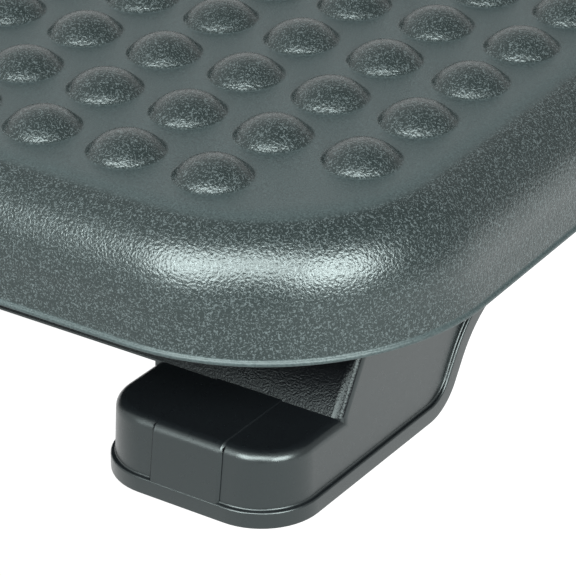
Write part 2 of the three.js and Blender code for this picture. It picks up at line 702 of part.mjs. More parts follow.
/** Bracket with an eye for the axle and a foot screwed to the platform. */
function axleBracket(side) {
  const eyeSteps = ROUND_SIDES / 2;
  const outline = [
    [BRACKET_FOOT_WIDTH / 2, BRACKET_UNDER_Z],
    [BRACKET_FOOT_WIDTH / 2, BRACKET_TOP_Z],
    [-BRACKET_FOOT_WIDTH / 2, BRACKET_TOP_Z],
    [-BRACKET_FOOT_WIDTH / 2, BRACKET_UNDER_Z],
  ];
  for (let step = 0; step <= eyeSteps; step += 1) {
    const angle = Math.PI * (1 + step / eyeSteps);
    outline.push([BRACKET_EYE_RADIUS * Math.cos(angle), BRACKET_EYE_RADIUS * Math.sin(angle)]);
  }
  const nearX = side * BRACKET_X;
  const bendX = side * BRACKET_OUT_X;
  const farX = side * (BRACKET_OUT_X + BRACKET_FOOT_LENGTH);
  const ear = extrudeAcross(outline, Math.min(nearX, bendX), Math.max(nearX, bendX));
  const foot = box(Math.min(nearX, farX), Math.max(nearX, farX),
    -BRACKET_FOOT_WIDTH / 2, BRACKET_FOOT_WIDTH / 2, BRACKET_UNDER_Z, BRACKET_TOP_Z);
  const eye = crossBar(0, clearRadius(AXLE_RADIUS, ROUND_SIDES),
    Math.min(nearX, bendX) - CUT_OVERRUN, Math.max(nearX, bendX) + CUT_OVERRUN);
  const holes = ENDS.map(([, end]) => uprightBar(
    side * (BRACKET_OUT_X + BRACKET_FOOT_LENGTH / 2), end * BRACKET_SCREW_Y,
    clearRadius(SCREW_RADIUS, SCREW_SIDES),
    BRACKET_UNDER_Z - CUT_OVERRUN, BRACKET_TOP_Z + CUT_OVERRUN, SCREW_SIDES,
  ));
  return cutAll(ear.add(foot), [eye, ...holes]);
}

/** Push-on ring that keeps the axle in its bracket, its axis along X. */
function axleClip() {
  const bore = clearRadius(AXLE_RADIUS, ROUND_SIDES);
  return turned([
    [bore, 0],
    [CLIP_RADIUS, 0],
    [CLIP_RADIUS, CLIP_THICKNESS],
    [bore, CLIP_THICKNESS],
    [bore, 0],
  ], ROUND_SIDES).rotateY(Math.PI / 2);
}

/** Lowest point of a bumper at rest, so that it just clears the deck at the limit. */
function bumperLowZ() {
  const edgeY = BUMPER_Y + BUMPER_RADIUS;
  return (edgeY * LIMIT_SINE - AXLE_OVER_DECK + BUMPER_STOP_GAP) / LIMIT_COSINE;
}

/** Rubber bumper with a stem that plugs into its boss. */
function tiltBumper() {
  const lowZ = bumperLowZ();
  return turned([
    [0, lowZ],
    [BUMPER_RADIUS - BUMPER_EDGE, lowZ],
    [BUMPER_RADIUS, lowZ + BUMPER_EDGE],
    [BUMPER_RADIUS, BUMPER_TOP_Z],
    [BUMPER_STEM_RADIUS, BUMPER_TOP_Z],
    [BUMPER_STEM_RADIUS, BUMPER_TOP_Z + BUMPER_STEM_LENGTH],
    [0, BUMPER_TOP_Z + BUMPER_STEM_LENGTH],
  ], ROUND_SIDES);
}

/** Everything that stands on the floor. */
function baseGroup() {
  const group = new THREE.Group();
  group.add(mesh('base_shell', baseShell(), 'base'));
  for (const [sideName, side] of SIDES) {
    for (const [endName, end] of ENDS) {
      group.add(mesh(`foot_pad_${endName}_${sideName}`, footPad(side, end), 'rubber'));
    }
    group.add(mesh(`axle_cradle_${sideName}`, bearingHalf(side, DECK_Z, AXLE_Z), 'fitting'));
    const capLowZ = AXLE_Z + SEAT_GAP;
    group.add(mesh(`cradle_cap_${sideName}`, bearingHalf(side, capLowZ, AXLE_Z + CAP_HEIGHT), 'fitting'));
    const bush = mesh(`axle_bush_${sideName}`, axleBush(), 'bush');
    bush.position.set(side * CRADLE_X, 0, AXLE_Z);
    group.add(bush);
  }
  const reach = AXLE_OVER_DECK + CAP_HEIGHT + DECK_THICKNESS + DECK_BOSS_LENGTH - SCREW_BOSS_REST;
  for (const { name, x, y } of cradleScrewPlaces()) {
    const held = mesh(`cradle_screw_${name}`, screw(reach), 'steel');
    held.position.set(x, y, AXLE_Z + CAP_HEIGHT);
    group.add(held);
  }
  return group;
}

/** Everything that turns with the platform, about the axle. */
function platformGroup() {
  const group = new THREE.Group();
  group.position.set(0, 0, AXLE_Z);
  group.rotation.x = THREE.MathUtils.degToRad(PHOTO_TILT_DEG);
  group.add(mesh('platform_shell', platformShell(), 'platform'));
  group.add(mesh('tilt_axle', tiltAxle(), 'steel'));
  const screwLength = BRACKET_THICKNESS + BRACKET_BOSS_HEIGHT + SEAT_GAP - BRACKET_SCREW_REST;
  for (const [sideName, side] of SIDES) {
    group.add(mesh(`axle_bracket_${sideName}`, axleBracket(side), 'fitting'));
    const clip = mesh(`axle_clip_${sideName}`, axleClip(), 'steel');
    const clipReach = BRACKET_OUT_X + SEAT_GAP;
    clip.position.x = side > 0 ? clipReach : -clipReach - CLIP_THICKNESS;
    group.add(clip);
    for (const [endName, end] of ENDS) {
      const held = mesh(`bracket_screw_${endName}_${sideName}`, screw(screwLength), 'steel');
      held.rotation.x = Math.PI;
      held.position.set(
        side * (BRACKET_OUT_X + BRACKET_FOOT_LENGTH / 2),
        end * BRACKET_SCREW_Y,
        BRACKET_UNDER_Z - SEAT_GAP,
      );
      group.add(held);
      const bumper = mesh(`tilt_bumper_${endName}_${sideName}`, tiltBumper(), 'rubber');
      bumper.position.set(side * BUMPER_X, end * BUMPER_Y, 0);
      group.add(bumper);
    }
  }
  return group;
}

const footrest = new THREE.Group();
footrest.add(baseGroup(), platformGroup());

export default footrest;
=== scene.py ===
"""Looks of the tilting under desk footrest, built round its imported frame.

Sizes are in millimetres unless a name says otherwise. A piece becomes metres
when it is placed. X runs from left to right, Y from front to back and Z up,
from the floor below the middle of the tilt axle.
"""
import json
import logging
import math
from dataclasses import dataclass, field
from enum import Enum
from typing import Callable, Dict, Iterable, List, Optional, Sequence, Tuple, Union

import bmesh
import bpy
from mathutils import Matrix, Vector


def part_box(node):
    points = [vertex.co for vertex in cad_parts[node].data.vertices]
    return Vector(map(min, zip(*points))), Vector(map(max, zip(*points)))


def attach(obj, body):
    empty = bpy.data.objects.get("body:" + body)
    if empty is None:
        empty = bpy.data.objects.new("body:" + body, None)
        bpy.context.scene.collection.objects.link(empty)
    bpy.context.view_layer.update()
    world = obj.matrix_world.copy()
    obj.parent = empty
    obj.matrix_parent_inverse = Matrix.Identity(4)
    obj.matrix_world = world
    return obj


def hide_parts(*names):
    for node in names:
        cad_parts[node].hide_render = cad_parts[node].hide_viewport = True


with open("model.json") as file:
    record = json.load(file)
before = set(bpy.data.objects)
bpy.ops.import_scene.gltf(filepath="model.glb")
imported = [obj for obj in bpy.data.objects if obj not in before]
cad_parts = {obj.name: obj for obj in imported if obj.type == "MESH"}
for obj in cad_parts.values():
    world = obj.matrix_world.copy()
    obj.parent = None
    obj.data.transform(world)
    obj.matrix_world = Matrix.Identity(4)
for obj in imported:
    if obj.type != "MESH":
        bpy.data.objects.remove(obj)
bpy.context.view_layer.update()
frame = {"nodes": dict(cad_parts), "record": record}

METRES = 0.001
SHARP_EDGE_DEG = 32.0
POST_SIDES = 28
UNIT = (0.0, 1.0)
# Most of a noise's values lie between these.
NOISE_SPAN = (0.3, 0.7)

Colour = Tuple[float, float, float]
Place = Tuple[float, float, float]
Span = Tuple[float, float]
Solid = bmesh.types.BMesh
Vert = bmesh.types.BMVert
Edge = bmesh.types.BMEdge
Socket = bpy.types.NodeSocket
log = logging.getLogger("footrest")


class Side(Enum):
    """Which end of the long side a piece is at."""

    LEFT = -1
    RIGHT = 1


class End(Enum):
    """Whether a piece is at the sitter's end or the far end."""

    FRONT = -1
    REAR = 1


class Grain(Enum):
    """How the mould's face left the plastic."""

    LEATHER = "leather"
    FINE = "fine"


class Blend(Enum):
    """How one solid is put together with another."""

    JOIN = "UNION"
    CUT = "DIFFERENCE"
    KEEP = "INTERSECT"


@dataclass(frozen=True)
class Level:
    """One level of a rounded outline: half sizes, corner radius and height."""

    half_x: float
    half_y: float
    radius: float
    z: float


class NodeTable:
    """Lays out and links the nodes of one tree."""

    def __init__(self, tree: bpy.types.NodeTree) -> None:
        """Take the tree."""
        self.tree = tree

    def add(self, kind: str, feeds: Dict[Union[str, int], object]) -> bpy.types.Node:
        """Add a node, and link or set its sockets.

        Args:
            kind: The node's kind, without Blender's ShaderNode before it.
            feeds: What goes to each socket, by the socket's name or number:
                another node's output, or a value.

        Returns:
            The node.
        """
        node = self.tree.nodes.new("ShaderNode" + kind)
        for socket, feed in feeds.items():
            if isinstance(feed, Socket):
                self.tree.links.new(feed, node.inputs[socket])
            else:
                node.inputs[socket].default_value = feed
        return node

    def math(self, operation: str, first: Socket, second: object) -> Socket:
        """One sum on a value.

        Args:
            operation: The sum's name in Blender, such as MULTIPLY.
            first: The value.
            second: A number, or another value.

        Returns:
            The sum's result.
        """
        node = self.add("Math", {0: first, 1: second})
        node.operation = operation
        return node.outputs["Value"]

    def spread(self, value: Socket, source: Span, target: Span) -> Socket:
        """A value taken from one range to another, and held inside it.

        Args:
            value: The value.
            source: The range it comes in.
            target: The range it goes to.

        Returns:
            The new value.
        """
        feeds = {
            "Value": value,
            "From Min": source[0],
            "From Max": source[1],
            "To Min": target[0],
            "To Max": target[1],
        }
        return self.add("MapRange", feeds).outputs["Result"]

    def seen(self) -> Socket:
        """Tell rays that see the room from rays that it lights.

        Returns:
            1 for rays of the camera, of reflections and of clear pieces.
        """
        rays = self.add("LightPath", {}).outputs
        direct = self.math("MAXIMUM", rays["Is Camera Ray"], rays["Is Glossy Ray"])
        return self.math("MAXIMUM", direct, rays["Is Transmission Ray"])


class NodeBench(NodeTable):
    """Lays out the nodes of one material round its principled shader."""

    def __init__(self, name: str) -> None:
        """Start a material and take its shader and object coordinates.

        Args:
            name: The material's name.
        """
        self.material = bpy.data.materials.new(name)
        self.material.use_nodes = True
        super().__init__(self.material.node_tree)
        self.shader = self.tree.nodes["Principled BSDF"]
        self.place = self.add("TexCoord", {}).outputs["Object"]

    def set(self, **values: object) -> None:
        """Set the shader's own sockets, with underscores for spaces."""
        for socket, value in values.items():
            self.shader.inputs[socket.replace("_", " ")].default_value = value

    def feed(self, **outputs: Socket) -> None:
        """Link outputs to the shader's sockets, with underscores for spaces."""
        for socket, output in outputs.items():
            self.tree.links.new(output, self.shader.inputs[socket.replace("_", " ")])

    def noise(self, scale: float, detail: float) -> Socket:
        """A noise over the piece: lumps in each metre, and octaves of finer ones."""
        feeds = {"Scale": scale, "Detail": detail, "Vector": self.place}
        return self.add("TexNoise", feeds).outputs["Fac"]

    def glint_lines(self, lumps: Socket, half_width: float) -> Socket:
        """Thin winding lines along the middle height of a noise, the mask of the painted glints.

        Args:
            lumps: The noise.
            half_width: How far from its middle height a ridge reaches.

        Returns:
            1 on a line, and 0 away from it.
        """
        middle = sum(NOISE_SPAN) / 2
        flat_width = half_width / 3
        off_middle = self.math("ABSOLUTE", self.math("SUBTRACT", lumps, middle), 0.0)
        return self.spread(off_middle, (flat_width, half_width), (1.0, 0.0))

    def attribute(self, name: str) -> Socket:
        """The value of one of the mesh's own attributes.

        Args:
            name: The attribute's name.

        Returns:
            The value.
        """
        node = self.add("Attribute", {})
        node.attribute_name = name
        return node.outputs["Fac"]

    def colours(self, factor: Socket, low: object, high: object) -> Socket:
        """A colour between two, by a factor.

        Args:
            factor: 0 for the first colour, 1 for the second.
            low: The first colour, or another node's colour.
            high: The second colour, or another node's colour.

        Returns:
            The mixed colour.
        """
        mix = self.add("Mix", {})
        mix.data_type = "RGBA"
        self.tree.links.new(factor, mix.inputs["Factor"])
        ends = [i for i in mix.inputs if i.type == "RGBA"]
        for end, colour in zip(ends, (low, high)):
            if isinstance(colour, Socket):
                self.tree.links.new(colour, end)
            else:
                end.default_value = (*colour, 1.0)
        return [o for o in mix.outputs if o.type == "RGBA"][0]

    def bump(self, height: Socket, depth: float, under: Optional[Socket] = None) -> Socket:
        """A relief over the surface.

        Args:
            height: Height as a share of the depth.
            depth: The relief's depth in metres.
            under: A normal that it lies on, or None.

        Returns:
            The new normal.
        """
        feeds = {"Distance": depth, "Height": height}
        if under is not None:
            feeds["Normal"] = under
        return self.add("Bump", feeds).outputs["Normal"]


@dataclass(frozen=True)
class MouldedPlastic:
    """Moulded plastic: two close tints, a gloss that wanders, and a grain; on leather grain, painted
    glints in the colour.
    """

    name: str
    dark: Colour
    light: Colour
    gloss: Span
    grain: Grain
    ior: float = 1.5
    tint: Colour = (0.85, 1.0, 0.985)
    fine_depth: float = 0.00004
    fine_scale: float = 2200.0
    fine_on_coarse: float = 0.4
    flat_gloss: Span = (0.4, 0.48)
    # Painted glints: on the coarse grain the colour runs from this dark tone up to a bright one along
    # winding specks that stand in for highlights.
    grain_colour_between_glints: Colour = (0.006, 0.011, 0.011)
    painted_glint_colour: Colour = (0.068, 0.088, 0.089)
    mottle_span: Span = (0.32, 0.68)
    glint_half_width: float = 0.07
    glint_break_scale: float = 1500.0
    glint_break_span: Span = (0.42, 0.56)
    coarse_depth: float = 0.00015
    coarse_scale: float = 1250.0
    cloud_scale: float = 35.0

    def leather(self, bench: NodeBench, fine: Socket) -> Tuple[Socket, Socket, Socket]:
        """Coarse grain bumps and painted glints, bright winding specks in the colour, where the mesh's
        grain attribute asks for them, on a matt field.

        Args:
            bench: The material's nodes.
            fine: The fine grain's noise.

        Returns:
            The colour, the roughness and the normal.
        """
        coarse = bench.attribute("grain")
        smooth = bench.spread(coarse, UNIT, (1.0, 0.0))
        matt = bench.math("MULTIPLY", bench.spread(fine, NOISE_SPAN, self.flat_gloss), smooth)
        glossy = bench.math("MULTIPLY", bench.spread(fine, NOISE_SPAN, self.gloss), coarse)
        calm = bench.spread(coarse, UNIT, (1.0, self.fine_on_coarse))
        normal = bench.bump(bench.math("MULTIPLY", fine, calm), self.fine_depth)
        lumps = bench.noise(self.coarse_scale, detail=1.0)
        normal = bench.bump(bench.math("MULTIPLY", lumps, coarse), self.coarse_depth, under=normal)
        glint_breaks = bench.spread(bench.noise(self.glint_break_scale, detail=1.0), self.glint_break_span, UNIT)
        # Painted highlights: glint lines broken into short specks, lighter in the colour, standing in
        # for the lamps' glints on the grain.
        painted_glints = bench.math("MULTIPLY", bench.glint_lines(lumps, self.glint_half_width), glint_breaks)
        mottle = bench.spread(fine, self.mottle_span, UNIT)
        field_colour = bench.colours(mottle, self.dark, self.light)
        grain_with_painted_glints = bench.colours(painted_glints, self.grain_colour_between_glints, self.painted_glint_colour)
        colour = bench.colours(coarse, field_colour, grain_with_painted_glints)
        return colour, bench.math("ADD", glossy, matt), normal

    def material(self) -> bpy.types.Material:
        """Build the material.

        Returns:
            The material.
        """
        bench = NodeBench(self.name)
        bench.set(Metallic=0.0, IOR=self.ior, Specular_Tint=(*self.tint, 1.0))
        fine = bench.noise(self.fine_scale, detail=3.0)
        if self.grain is Grain.LEATHER:
            colour, gloss, normal = self.leather(bench, fine)
        else:
            clouds = bench.noise(self.cloud_scale, detail=3.0)
            colour = bench.colours(clouds, self.dark, self.light)
            gloss = bench.spread(fine, NOISE_SPAN, self.gloss)
            normal = bench.bump(fine, self.fine_depth)
        bench.feed(Base_Color=colour, Roughness=gloss, Normal=normal)
        return bench.material


@dataclass(frozen=True)
class Rubber:
    """Black rubber, matt and slightly pitted."""

    name: str
    dark: Colour = (0.008, 0.008, 0.008)
    light: Colour = (0.018, 0.018, 0.017)
    pit_scale: float = 1800.0
    pit_depth: float = 0.00004
    roughness: Span = (0.7, 0.9)
    reflection: float = 0.35

    def material(self) -> bpy.types.Material:
        """Build the material.

        Returns:
            The material.
        """
        bench = NodeBench(self.name)
        bench.set(Metallic=0.0, Specular_IOR_Level=self.reflection)
        pits = bench.noise(self.pit_scale, detail=4.0)
        bench.feed(
            Base_Color=bench.colours(pits, self.dark, self.light),
            Roughness=bench.spread(pits, NOISE_SPAN, self.roughness),
            Normal=bench.bump(pits, self.pit_depth),
        )
        return bench.material


@dataclass(frozen=True)
class ZincSteel:
    """Bright zinc plating, clouded, with fine draw marks."""

    name: str
    dark: Colour = (0.42, 0.43, 0.44)
    light: Colour = (0.56, 0.57, 0.58)
    cloud_scale: float = 160.0
    mark_scale: float = 3000.0
    mark_depth: float = 0.000006
    roughness: Span = (0.24, 0.4)

    def material(self) -> bpy.types.Material:
        """Build the material.

        Returns:
            The material.
        """
        bench = NodeBench(self.name)
        bench.set(Metallic=1.0)
        clouds = bench.noise(self.cloud_scale, detail=4.0)
        marks = bench.noise(self.mark_scale, detail=2.0)
        bench.feed(
            Base_Color=bench.colours(clouds, self.dark, self.light),
            Roughness=bench.spread(clouds, NOISE_SPAN, self.roughness),
            Normal=bench.bump(marks, self.mark_depth),
        )
        return bench.material


class Finishes:
    """Every finish of the footrest, made once."""

    def __init__(self) -> None:
        """Make the materials."""
        self.platform = MouldedPlastic(
            name="charcoal_leather_plastic",
            dark=(0.012, 0.021, 0.022),
            light=(0.036, 0.055, 0.056),
            gloss=(0.22, 0.31),
            grain=Grain.LEATHER,
            ior=1.68,
            fine_depth=0.00011,
            fine_scale=1900.0,
        ).material()
        self.base = MouldedPlastic(
            name="black_satin_plastic",
            dark=(0.0035, 0.0045, 0.0055),
            light=(0.005, 0.0065, 0.0075),
            gloss=(0.27, 0.33),
            grain=Grain.FINE,
            ior=1.68,
            fine_depth=0.000002,
            fine_scale=900.0,
        ).material()
        self.riser = MouldedPlastic(
            name="black_grained_plastic",
            dark=(0.0035, 0.004, 0.005),
            light=(0.006, 0.007, 0.008),
            gloss=(0.15, 0.21),
            grain=Grain.FINE,
            ior=1.34,
            fine_depth=0.00006,
            fine_scale=1700.0,
        ).material()
        self.fitting = MouldedPlastic(
            name="black_glass_filled_plastic",
            dark=(0.016, 0.017, 0.018),
            light=(0.026, 0.027, 0.028),
            gloss=(0.42, 0.55),
            grain=Grain.FINE,
            fine_depth=0.00002,
            fine_scale=1500.0,
        ).material()
        self.bush = MouldedPlastic(
            name="natural_acetal",
            dark=(0.62, 0.6, 0.54),
            light=(0.7, 0.68, 0.62),
            gloss=(0.36, 0.46),
            grain=Grain.FINE,
            tint=(1.0, 1.0, 1.0),
            fine_depth=0.000006,
        ).material()
        self.rubber = Rubber(name="black_rubber").material()
        self.steel = ZincSteel(name="bright_zinc_steel").material()


def grow_ring(bm: Solid, edges: Sequence[Edge]) -> Tuple[List[Vert], List[Edge]]:
    """Grow a ring of faces out of a ring of edges, ready to be moved.

    Args:
        bm: The solid.
        edges: The ring.

    Returns:
        The vertices and the edges of the new ring.
    """
    grown = bmesh.ops.extrude_edge_only(bm, edges=edges)["geom"]
    verts = [g for g in grown if isinstance(g, Vert)]
    new = set(verts)
    ring = [g for g in grown if isinstance(g, Edge) and all(v in new for v in g.verts)]
    return verts, ring


def loft(levels: Sequence[Level], steps: int, centre: Span = (0.0, 0.0)) -> Solid:
    """Make a closed solid through rounded outlines, from the lowest level up.

    Args:
        levels: The outlines.
        steps: Edges in each round corner.
        centre: Where the outlines' middle lies in X and Y.

    Returns:
        The solid.
    """
    bm = bmesh.new()
    count = 4 * (steps + 1)
    tag = bm.verts.layers.int.new("order")
    ring = bmesh.ops.create_circle(bm, cap_ends=True, radius=1.0, segments=count)["verts"]
    for index, vert in enumerate(ring):
        vert[tag] = index

    def shape(verts: Iterable[Vert], level: Level) -> None:
        """Move a ring's vertices to an outline.

        Args:
            verts: The ring's vertices.
            level: The outline.
        """
        for vert in verts:
            corner, step = divmod(vert[tag], steps + 1)
            angle = math.radians(90.0 * (corner + step / steps))
            sign_x = 1 if corner in (0, 3) else -1
            sign_y = 1 if corner in (0, 1) else -1
            vert.co = (
                centre[0] + sign_x * (level.half_x - level.radius) + level.radius * math.cos(angle),
                centre[1] + sign_y * (level.half_y - level.radius) + level.radius * math.sin(angle),
                level.z,
            )

    shape(ring, levels[0])
    edges = list(bm.edges)
    for level in levels[1:]:
        verts, edges = grow_ring(bm, edges)
        shape(verts, level)
    bmesh.ops.edgeloop_fill(bm, edges=edges)
    bmesh.ops.recalc_face_normals(bm, faces=bm.faces)
    bm.verts.layers.int.remove(bm.verts.layers.int["order"])
    return bm


def block(low: Vector, high: Vector, softness: float = 0.0) -> Solid:
    """Make a block between two corners, its edges softened.

    Args:
        low: The lowest corner.
        high: The highest corner.
        softness: Radius of the edges.

    Returns:
        The block.
    """
    bm = bmesh.new()
    bmesh.ops.create_cube(bm, size=1.0)
    bmesh.ops.scale(bm, vec=high - low, verts=bm.verts)
    bmesh.ops.translate(bm, vec=(low + high) / 2, verts=bm.verts)
    if softness > 0:
        soften(bm, bm.edges, softness, 2)
    return bm


def soften(bm: Solid, edges: Iterable[Edge], radius: float, segments: int) -> None:
    """Round some edges of a solid.

    Args:
        bm: The solid.
        edges: The edges.
        radius: How far the rounding reaches from each edge.
        segments: Faces across the rounding.
    """
    bmesh.ops.bevel(
        bm, geom=list(edges), offset=radius, segments=segments,
        profile=0.5, affect="EDGES", material=-1,
    )


def post(x: float, y: float, radius: float, low_z: float, high_z: float) -> Solid:
    """Make an upright round bar between two heights.

    Args:
        x: Its middle across.
        y: Its middle from front to back.
        radius: Its radius.
        low_z: Height of its foot.
        high_z: Height of its top.

    Returns:
        The bar.
    """
    bm = bmesh.new()
    bmesh.ops.create_cone(
        bm, cap_ends=True, segments=POST_SIDES, radius1=radius, radius2=radius, depth=high_z - low_z,
    )
    bmesh.ops.translate(bm, vec=(x, y, (low_z + high_z) / 2), verts=bm.verts)
    return bm


def prism(outline: Iterable[Span], near_x: float, far_x: float) -> Solid:
    """Make a solid with one outline all the way across.

    Args:
        outline: Places in Y and Z, in order.
        near_x: Where it starts.
        far_x: Where it ends.

    Returns:
        The solid.
    """
    bm = bmesh.new()
    face = bm.faces.new([bm.verts.new((near_x, y, z)) for y, z in outline])
    grown = bmesh.ops.extrude_face_region(bm, geom=[face])["geom"]
    moved = [g for g in grown if isinstance(g, Vert)]
    bmesh.ops.translate(bm, vec=(far_x - near_x, 0.0, 0.0), verts=moved)
    bmesh.ops.recalc_face_normals(bm, faces=bm.faces)
    return bm


def quarter_round(radius: float, start_z: float, steps: int) -> List[Span]:
    """Lay out a rounded edge, from an upright face to a level one.

    Args:
        radius: The edge's radius.
        start_z: Height at which the upright face ends.
        steps: Edges across the rounding.

    Returns:
        Places as (distance in from the upright face, height).
    """
    angles = [math.pi / 2 * step / steps for step in range(steps + 1)]
    return [(radius * (1 - math.cos(a)), start_z + radius * math.sin(a)) for a in angles]


def gather(target: Solid, *parts: Solid) -> None:
    """Put other solids into one mesh, and free them.

    Args:
        target: The mesh.
        parts: The other solids.
    """
    for part in parts:
        scratch = bpy.data.meshes.new("part")
        part.to_mesh(scratch)
        target.from_mesh(scratch)
        bpy.data.meshes.remove(scratch)
        part.free()


def carve(whole: Solid, part: Solid, how: Blend) -> Solid:
    """Put two solids together with the manifold solver.

    Args:
        whole: The solid that is worked on.
        part: The solid that is joined to it, cut out of it or met with it.
        how: Which of these.

    Returns:
        The new solid. Both others are freed.
    """
    pieces = []
    for bm in (whole, part):
        shape = bpy.data.meshes.new("carve")
        bm.to_mesh(shape)
        bm.free()
        thing = bpy.data.objects.new("carve", shape)
        bpy.context.scene.collection.objects.link(thing)
        pieces.append(thing)
    tool = pieces[0].modifiers.new("carve", "BOOLEAN")
    tool.object = pieces[1]
    tool.operation = how.value
    tool.solver = "MANIFOLD"
    bpy.context.view_layer.update()
    graph = bpy.context.evaluated_depsgraph_get()
    result = bmesh.new()
    result.from_mesh(pieces[0].evaluated_get(graph).to_mesh())
    pieces[0].evaluated_get(graph).to_mesh_clear()
    for thing in pieces:
        shape = thing.data
        bpy.data.objects.remove(thing)
        bpy.data.meshes.remove(shape)
    return result


def place_piece(
    name: str,
    bm: Solid,
    materials: Sequence[bpy.types.Material],
    body: str,
    replaced: Sequence[str],
    weigh: bool = False,
) -> bpy.types.Object:
    """Turn a solid in millimetres into a finished piece that rides on a body.

    Args:
        name: The piece's name.
        bm: The solid, which is freed.
        materials: Its materials, in the order of its faces' indices.
        body: The body that it moves with.
        replaced: The frame's nodes that it stands for.
        weigh: Whether large faces keep their shading flat beside round edges.

    Returns:
        The piece.
    """
    bmesh.ops.scale(bm, vec=(METRES, METRES, METRES), verts=bm.verts)
    shape = bpy.data.meshes.new(name)
    bm.to_mesh(shape)
    bm.free()
    for material in materials:
        shape.materials.append(material)
    shape.shade_smooth()
    shape.set_sharp_from_angle(angle=math.radians(SHARP_EDGE_DEG))
    piece = bpy.data.objects.new(name, shape)
    bpy.context.scene.collection.objects.link(piece)
    if weigh:
        flat = piece.modifiers.new("flat_faces", "WEIGHTED_NORMAL")
        flat.keep_sharp = True
    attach(piece, body)
    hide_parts(*replaced)
    log.info("%s: %d faces", name, len(shape.polygons))
    return piece


@dataclass
class PlatformShell:
    """Foot platform: domes, rolled rim, skirt and lip, hollow below."""

    finishes: Finishes
    columns: int = 14
    rows: int = 10
    pitch: float = 28.7
    margin: float = 37.6
    dome_radius: float = 11.15
    dome_height: float = 5.8
    dome_blend: float = 0.6
    dome_sides: int = 32
    plate: float = 3.0
    wall: float = 2.8
    corner_radius: float = 69.0
    depth: float = 35.2
    field_over_axle: float = 24.0
    axle_z: float = 66.0
    tilt_deg: float = 2.0
    rim_run: float = 21.0
    rim_drop: float = 25.0
    rim_steps: int = 18
    lip_proud: float = 0.7
    lip_height: float = 1.0
    skirt_lean: float = 1.3
    ring_inset: float = 19.0
    ring_steps: int = 8
    grain_dome_radius: float = 11.3
    grain_dome_softness: float = 0.3
    grain_rim_inset: float = 17.0
    grain_rim_softness: float = 1.2
    rib_height: float = 6.0
    rib_width: float = 2.4
    rib_x: float = 60.0
    rib_y: float = 62.0
    rib_bite: float = 0.6
    bracket_boss: Span = (6.0, 5.0)
    bracket_hole: float = 2.3
    bracket_place: Span = (142.8, 13.0)
    bumper_boss: Span = (8.5, 6.0)
    bumper_hole: float = 2.9
    bumper_place: Span = (110.0, 95.1)
    cell_radii: Sequence[float] = (2.2, 4.4, 6.4, 8.2, 9.6, 10.3, 10.7, 11.1, 11.5, 11.9, 13.0)
    skirt_shares: Sequence[float] = (0.3, 0.65, 0.95)
    bead_over: Sequence[Span] = ((0.92, 0.08), (0.62, 0.4), (0.2, 0.75), (0.0, 1.3))
    bead_under: Sequence[Span] = ((0.0, 0.6), (0.2, 0.2), (0.6, 0.0))

    @property
    def half_x(self) -> float:
        """Half the platform's width."""
        return (self.columns - 1) / 2 * self.pitch + self.margin

    @property
    def half_y(self) -> float:
        """Half the platform's depth from front to back."""
        return (self.rows - 1) / 2 * self.pitch + self.margin

    @property
    def skirt_inset(self) -> float:
        """How far the rim's foot stands in from the lip."""
        return self.lip_proud + self.skirt_lean

    @property
    def lip_z(self) -> float:
        """Height of the lip's underside over the axle."""
        return self.field_over_axle - self.depth

    @property
    def neck_z(self) -> float:
        """Height over the axle at which the skirt turns out into the lip."""
        return self.lip_z + self.lip_height + self.lip_proud

    def inset_at(self, x: float, y: float) -> float:
        """How far a place lies in from the lip's outline.

        Args:
            x: Place across.
            y: Place from front to back.

        Returns:
            The distance, below 0 outside the outline.
        """
        away_x = abs(x) - (self.half_x - self.corner_radius)
        away_y = abs(y) - (self.half_y - self.corner_radius)
        outside = math.hypot(max(away_x, 0.0), max(away_y, 0.0))
        return self.corner_radius - outside - min(max(away_x, away_y), 0.0)

    def rim_z(self, inset: float) -> float:
        """Height of the field and the rolled rim over the axle.

        Args:
            inset: Distance in from the lip's outline.

        Returns:
            The height.
        """
        share = (self.rim_run + self.skirt_inset - inset) / self.rim_run
        share = min(max(share, 0.0), 1.0)
        return self.field_over_axle - self.rim_drop * (1 - math.sqrt(1 - share ** 2))

    def surface_z(self, x: float, y: float, reach: Optional[float]) -> float:
        """Height of the top surface, with a dome blended in.

        Args:
            x: Place across.
            y: Place from front to back.
            reach: Distance from the dome's middle, or None away from domes.

        Returns:
            The height over the axle.
        """
        low = self.rim_z(self.inset_at(x, y))
        ball = (self.dome_radius ** 2 + self.dome_height ** 2) / (2 * self.dome_height)
        if reach is None or reach >= ball:
            return low
        top = math.sqrt(ball ** 2 - reach ** 2) - (ball - self.dome_height)
        high = self.field_over_axle + top
        near = max(self.dome_blend - abs(high - low), 0.0) / self.dome_blend
        return max(high, low) + near ** 2 * self.dome_blend / 4

    def grain_at(self, inset: float, reach: Optional[float]) -> float:
        """Share of the coarse grain at a place.

        Args:
            inset: Distance in from the lip's outline.
            reach: Distance from a dome's middle, or None away from domes.

        Returns:
            1 on the rim and the domes, 0 on the field between them.
        """
        rim = (self.grain_rim_inset - inset) / self.grain_rim_softness
        dome = -1.0
        if reach is not None:
            dome = (self.grain_dome_radius - reach) / self.grain_dome_softness
        return min(max(max(rim, dome) / 2 + 0.5, 0.0), 1.0)

    def centres(self) -> List[Vector]:
        """Middles of the domes: a full grid without its four corners.

        Returns:
            Their places, level.
        """
        places = []
        for row in range(self.rows):
            for column in range(self.columns):
                at_side = column in (0, self.columns - 1)
                at_end = row in (0, self.rows - 1)
                if not (at_side and at_end):
                    places.append(Vector((
                        (column - (self.columns - 1) / 2) * self.pitch,
                        (row - (self.rows - 1) / 2) * self.pitch,
                        0.0,
                    )))
        return places

